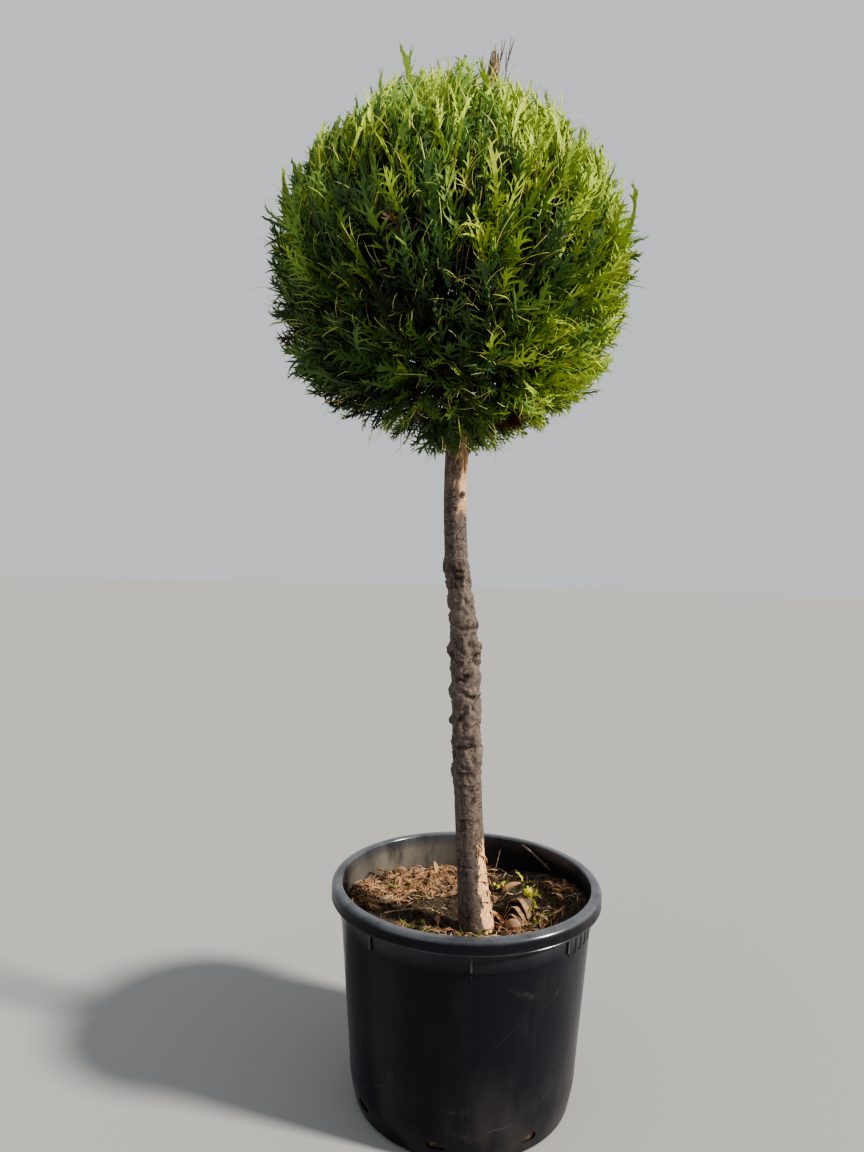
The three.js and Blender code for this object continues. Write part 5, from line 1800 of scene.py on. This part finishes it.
    def leaves(self, materials):
        """Sprigs in known places, and a tan leaf."""
        draw = seeded(83)
        for name, leaf, count, spots in SPRIGS:
            rows = []
            for x, y, spread in [spot for spot in spots for _ in range(count)]:
                turn = math.tau * draw()
                wide, deep = spread * MM, 0.6 * spread * MM
                root = on_soil(x + wide * (draw() - 0.5), y + deep * (draw() - 0.5), 2 * MM)
                reach = outward(turn, 0.15 + 0.5 * draw())
                tip = root + unit(reach) * (13 + 15 * draw()) * MM
                rows.append((root, tip, 2 * draw(), 1.0, 0.5 * (draw() - 0.3), 0.4 * (draw() - 0.5), draw()))
            leaves = placed_fronds(frond_template(31, 4, 0.30, 0.075, 42, 0), rows)
            piece_from(name, leaves, [materials[leaf]] * 3, "foliage")
        tan = blade_sheet(on_soil(0.062, 0.070, 2 * MM), on_soil(0.092, 0.080, 7 * MM), 11 * MM, 0.1, 0.6)
        piece_from("tan_leaf", tan, [materials["orange"]], "foliage", True)


# The stub's lifted layers, in millimetres: how far behind the cut, half width, height and drop.
STUB_LAYERS = ((6, 11, 20, -8), (13, 15, 27, -8), (27, 18, 33, -7))


class TOPIARY_OT_stub(bpy.types.Operator):
    """Model the sawn stub with its lifted layers of bark and its sprout"""

    bl_idname = "topiary.stub"
    bl_label = "Sawn stub"

    def execute(self, context):
        wood = context.scene.topiary_wood
        piece = column("stub_body", 48, ((0, 1, 3, 12),))
        co = coordinates(piece)
        share = np.clip(co[:, 2], 0, 1)
        forward = unit(STUB_BACK - STUB_SAWN)
        across = unit(np.cross((0, 0, 1), forward))
        over = np.cross(forward, across)
        radius = 0.66 * (STUB_SAWN_RADIUS + (STUB_BACK_RADIUS - STUB_SAWN_RADIUS) * share**0.7)
        rough = 1 + 0.10 * noise_at(co * (1, 1, 0.35), 0.35) * smooth_step(share, 0.0, 0.05)
        side, up = co[:, 0] * radius * rough, co[:, 1] * radius * rough * STUB_FLATTEN
        place = STUB_SAWN + share[:, None] * (STUB_BACK - STUB_SAWN)
        set_coordinates(piece, place + side[:, None] * across + up[:, None] * over)
        point_outwards(piece)
        piece.data.shade_smooth()
        bark = wood_material("stub_bark", wood.twig, wood.bark, 3, 1.0, 0.8)
        settled(piece, [bark], "dead_wood", ["sawn_stub"])
        self.sawn_face(wood, forward)
        self.layers(wood, forward, across)
        self.sprout(context.scene.topiary_pot.sprout)
        return {"FINISHED"}

    def sawn_face(self, wood, forward):
        """The cut end: pale wood with a dark ring of bark round it, proud of the body."""
        parts = []
        for radius, out, ring in ((8.4, 5.2, 0), (10.9, 4.4, 1)):
            line = [STUB_SAWN + mm(0, 0, 1) - forward * (out * MM - step) for step in (0, 2 * MM, 6 * MM)]
            points, faces, tones = tubes([line], mm(radius, radius + 0.4, radius), 32)
            bumps = 1 + 0.04 * noise_at(points, 3 * MM)
            middle = points.mean(0)
            parts.append((middle + (points - middle) * bumps[:, None], faces, tones + ring))
        cut = wood_material("sawn_wood", wood.sawn, wood.upper, 2.5, 1.0, 0.5)
        dark = wood_material("dark_ring", wood.groove_and_shade, wood.twig, 2.5, 1.0, 0.5)
        piece_from("sawn_face", joined(parts), [cut, dark], "dead_wood", True)

    def layers(self, wood, forward, across):
        """Layers of bark that stand over the cut end like tents, each behind and above the last."""
        tan = wood_material("lifted_bark", wood.sawn, wood.twig, 5, 1.0, 0.5)
        shaded = tuple(np.array(wood.upper) * 0.4)
        dark = wood_material("lifted_bark_dark", shaded, wood.groove_and_shade, 3, 3.0, 0.5)
        rows, columns = 9, 17
        edge_faces = 2 * (2 * (rows + columns) - 4)
        parts = []
        for number, (start, width, height, drop) in enumerate(STUB_LAYERS):
            grid = np.empty((rows, columns, 3))
            for i, share in enumerate(np.linspace(0, 1, rows)):
                base = STUB_SAWN + forward * (start + 22 * share) * MM + mm(0, 0, drop)
                for j, side in enumerate(np.linspace(-1, 1, columns)):
                    ragged = 1 + 0.09 * math.sin(6 * side + 2 * number) * (1 - share)
                    peak = height * (1 - abs(side) ** 2.1) * ragged * (1 - 0.3 * share) * MM
                    flare = 1 + 0.12 * (1 - share)
                    lean = (2.2 * math.sin(3 * side + number) + 3) * MM * (1 - share)
                    grid[i, j] = base + across * (side * width * MM * flare + lean) + np.array((0, 0, peak))
            points, faces, tones = sheet(grid, 1.1 * MM)
            points = points + unit(points - STUB_SAWN) * (0.9 * MM * noise_at(points, 5 * MM))[:, None]
            tones[:-edge_faces] = 1
            parts.append((points, faces, tones))
        piece_from("lifted_bark_layers", joined(parts), [tan, dark], "dead_wood", True)

    def sprout(self, colour):
        """A yellow-green sprout and lichen at the stub's right side."""
        draw = seeded(19)
        young = leaf_material("sprout_leaf", colour, 0.5)
        moss = leaf_material("lichen", tuple(np.array(colour) * 0.45), 0.8)
        rows = []
        for _ in range(9):
            root = mm(94, 0, 292) + np.array((draw() - 0.5, 2 * draw() - 1, draw() - 0.5)) * 10 * MM
            lean = np.array((draw() - 0.2, draw() - 0.6, 0.7 + draw()))
            tip = root + unit(lean) * (12 + 10 * draw()) * MM
            rows.append((root, tip, draw() * math.pi, 1.1, 0.2, 0.1, draw()))
        leaves = placed_fronds(frond_template(19, 4, 0.3, 0.13, 40, 0), rows)
        piece_from("stub_sprout", leaves, [young] * 3, "foliage")
        places = [(0.090 + 14 * MM * draw(), -0.035 + 50 * MM * draw()) for _ in range(90)]
        points, faces, tones = crumbs(places, draw, 0.7, 2.0)
        points[:, 2] += 12 * MM
        piece_from("stub_lichen", (points, faces, tones), [moss], "foliage")


class TOPIARY_OT_stage(bpy.types.Operator):
    """Set the floor, the soft lights and the camera"""

    bl_idname = "topiary.stage"
    bl_label = "Stage"

    def execute(self, context):
        settings = context.scene.topiary_stage
        deselect()
        bpy.ops.mesh.primitive_plane_add(size=30)
        floor = started("floor")
        floor.data.materials.append(new_material("plain_floor", settings.floor, 0.9, 0.2)[0])
        key = self.light("key", "SUN", (2.7, -0.95, 2.65), settings.key, (1.0, 0.94, 0.84))
        key.angle = settings.softness
        self.light("fill", "AREA", (-2.3, -2.0, 1.3), settings.fill, (0.88, 0.94, 1.0)).size = 2.4
        world = bpy.data.worlds.new("pale_surround")
        world.use_nodes = True
        background = world.node_tree.nodes["Background"]
        background.inputs["Color"].default_value = (0.94, 0.97, 1.0, 1)
        background.inputs["Strength"].default_value = settings.surround
        context.scene.world = world
        context.scene.view_settings.look = "AgX - Medium High Contrast"
        data = bpy.data.cameras.new("camera")
        data.lens = CAMERA_LENS
        data.sensor_width = CAMERA_SENSOR
        camera = self.placed(data, CAMERA_PLACE)
        turn = Euler((math.pi / 2 - CAMERA_PITCH, 0, 0)).to_matrix() @ Euler((0, 0, CAMERA_ROLL)).to_matrix()
        camera.rotation_euler = turn.to_euler()
        context.scene.camera = camera
        return {"FINISHED"}

    def placed(self, data, place):
        thing = bpy.data.objects.new(data.name, data)
        thing.location = place
        bpy.context.scene.collection.objects.link(thing)
        return thing

    def light(self, name, kind, place, power, tint):
        """A light at a place, turned to the middle of the object."""
        data = bpy.data.lights.new(name, kind)
        data.energy = power
        data.color = tint
        light = self.placed(data, place)
        light.rotation_euler = (Vector(LIGHT_AIM) - light.location).to_track_quat("-Z", "Y").to_euler()
        return data


PIECES = (
    TOPIARY_OT_stage,
    TOPIARY_OT_pot,
    TOPIARY_OT_soil,
    TOPIARY_OT_litter,
    TOPIARY_OT_stub,
    TOPIARY_OT_stem,
    TOPIARY_OT_boughs,
    TOPIARY_OT_twigs,
    TOPIARY_OT_foliage,
)
SETTINGS = {
    "topiary_foliage": FoliageSettings,
    "topiary_wood": WoodSettings,
    "topiary_pot": PotSettings,
    "topiary_stage": StageSettings,
}


class TOPIARY_PT_panel(bpy.types.Panel):
    """Lists the pieces of the topiary"""

    bl_idname = "TOPIARY_PT_panel"
    bl_label = "Potted topiary"
    bl_space_type = "VIEW_3D"
    bl_region_type = "UI"
    bl_category = "Topiary"

    def draw(self, context):
        for piece in PIECES:
            self.layout.operator(piece.bl_idname)


def register():
    for name, settings in SETTINGS.items():
        bpy.utils.register_class(settings)
        setattr(bpy.types.Scene, name, bpy.props.PointerProperty(type=settings))
    for piece in PIECES:
        bpy.utils.register_class(piece)
    bpy.utils.register_class(TOPIARY_PT_panel)


def unregister():
    bpy.utils.unregister_class(TOPIARY_PT_panel)
    for piece in reversed(PIECES):
        bpy.utils.unregister_class(piece)
    for name, settings in SETTINGS.items():
        delattr(bpy.types.Scene, name)
        bpy.utils.unregister_class(settings)


def main():
    register()
    for key, make in (
        ("grain", grain_group),
        ("tint", tint_group),
        ("dust", dust_group),
        ("scratch", scratch_group),
        ("mark", mark_group),
    ):
        GROUPS[key] = make()
    bpy.ops.topiary.stage()
    bpy.ops.topiary.pot()
    bpy.ops.topiary.soil()
    bpy.ops.topiary.litter()
    bpy.ops.topiary.stub()
    bpy.ops.topiary.stem()
    bpy.ops.topiary.boughs()
    bpy.ops.topiary.twigs()
    bpy.ops.topiary.foliage()


if __name__ == "__main__":
    main()
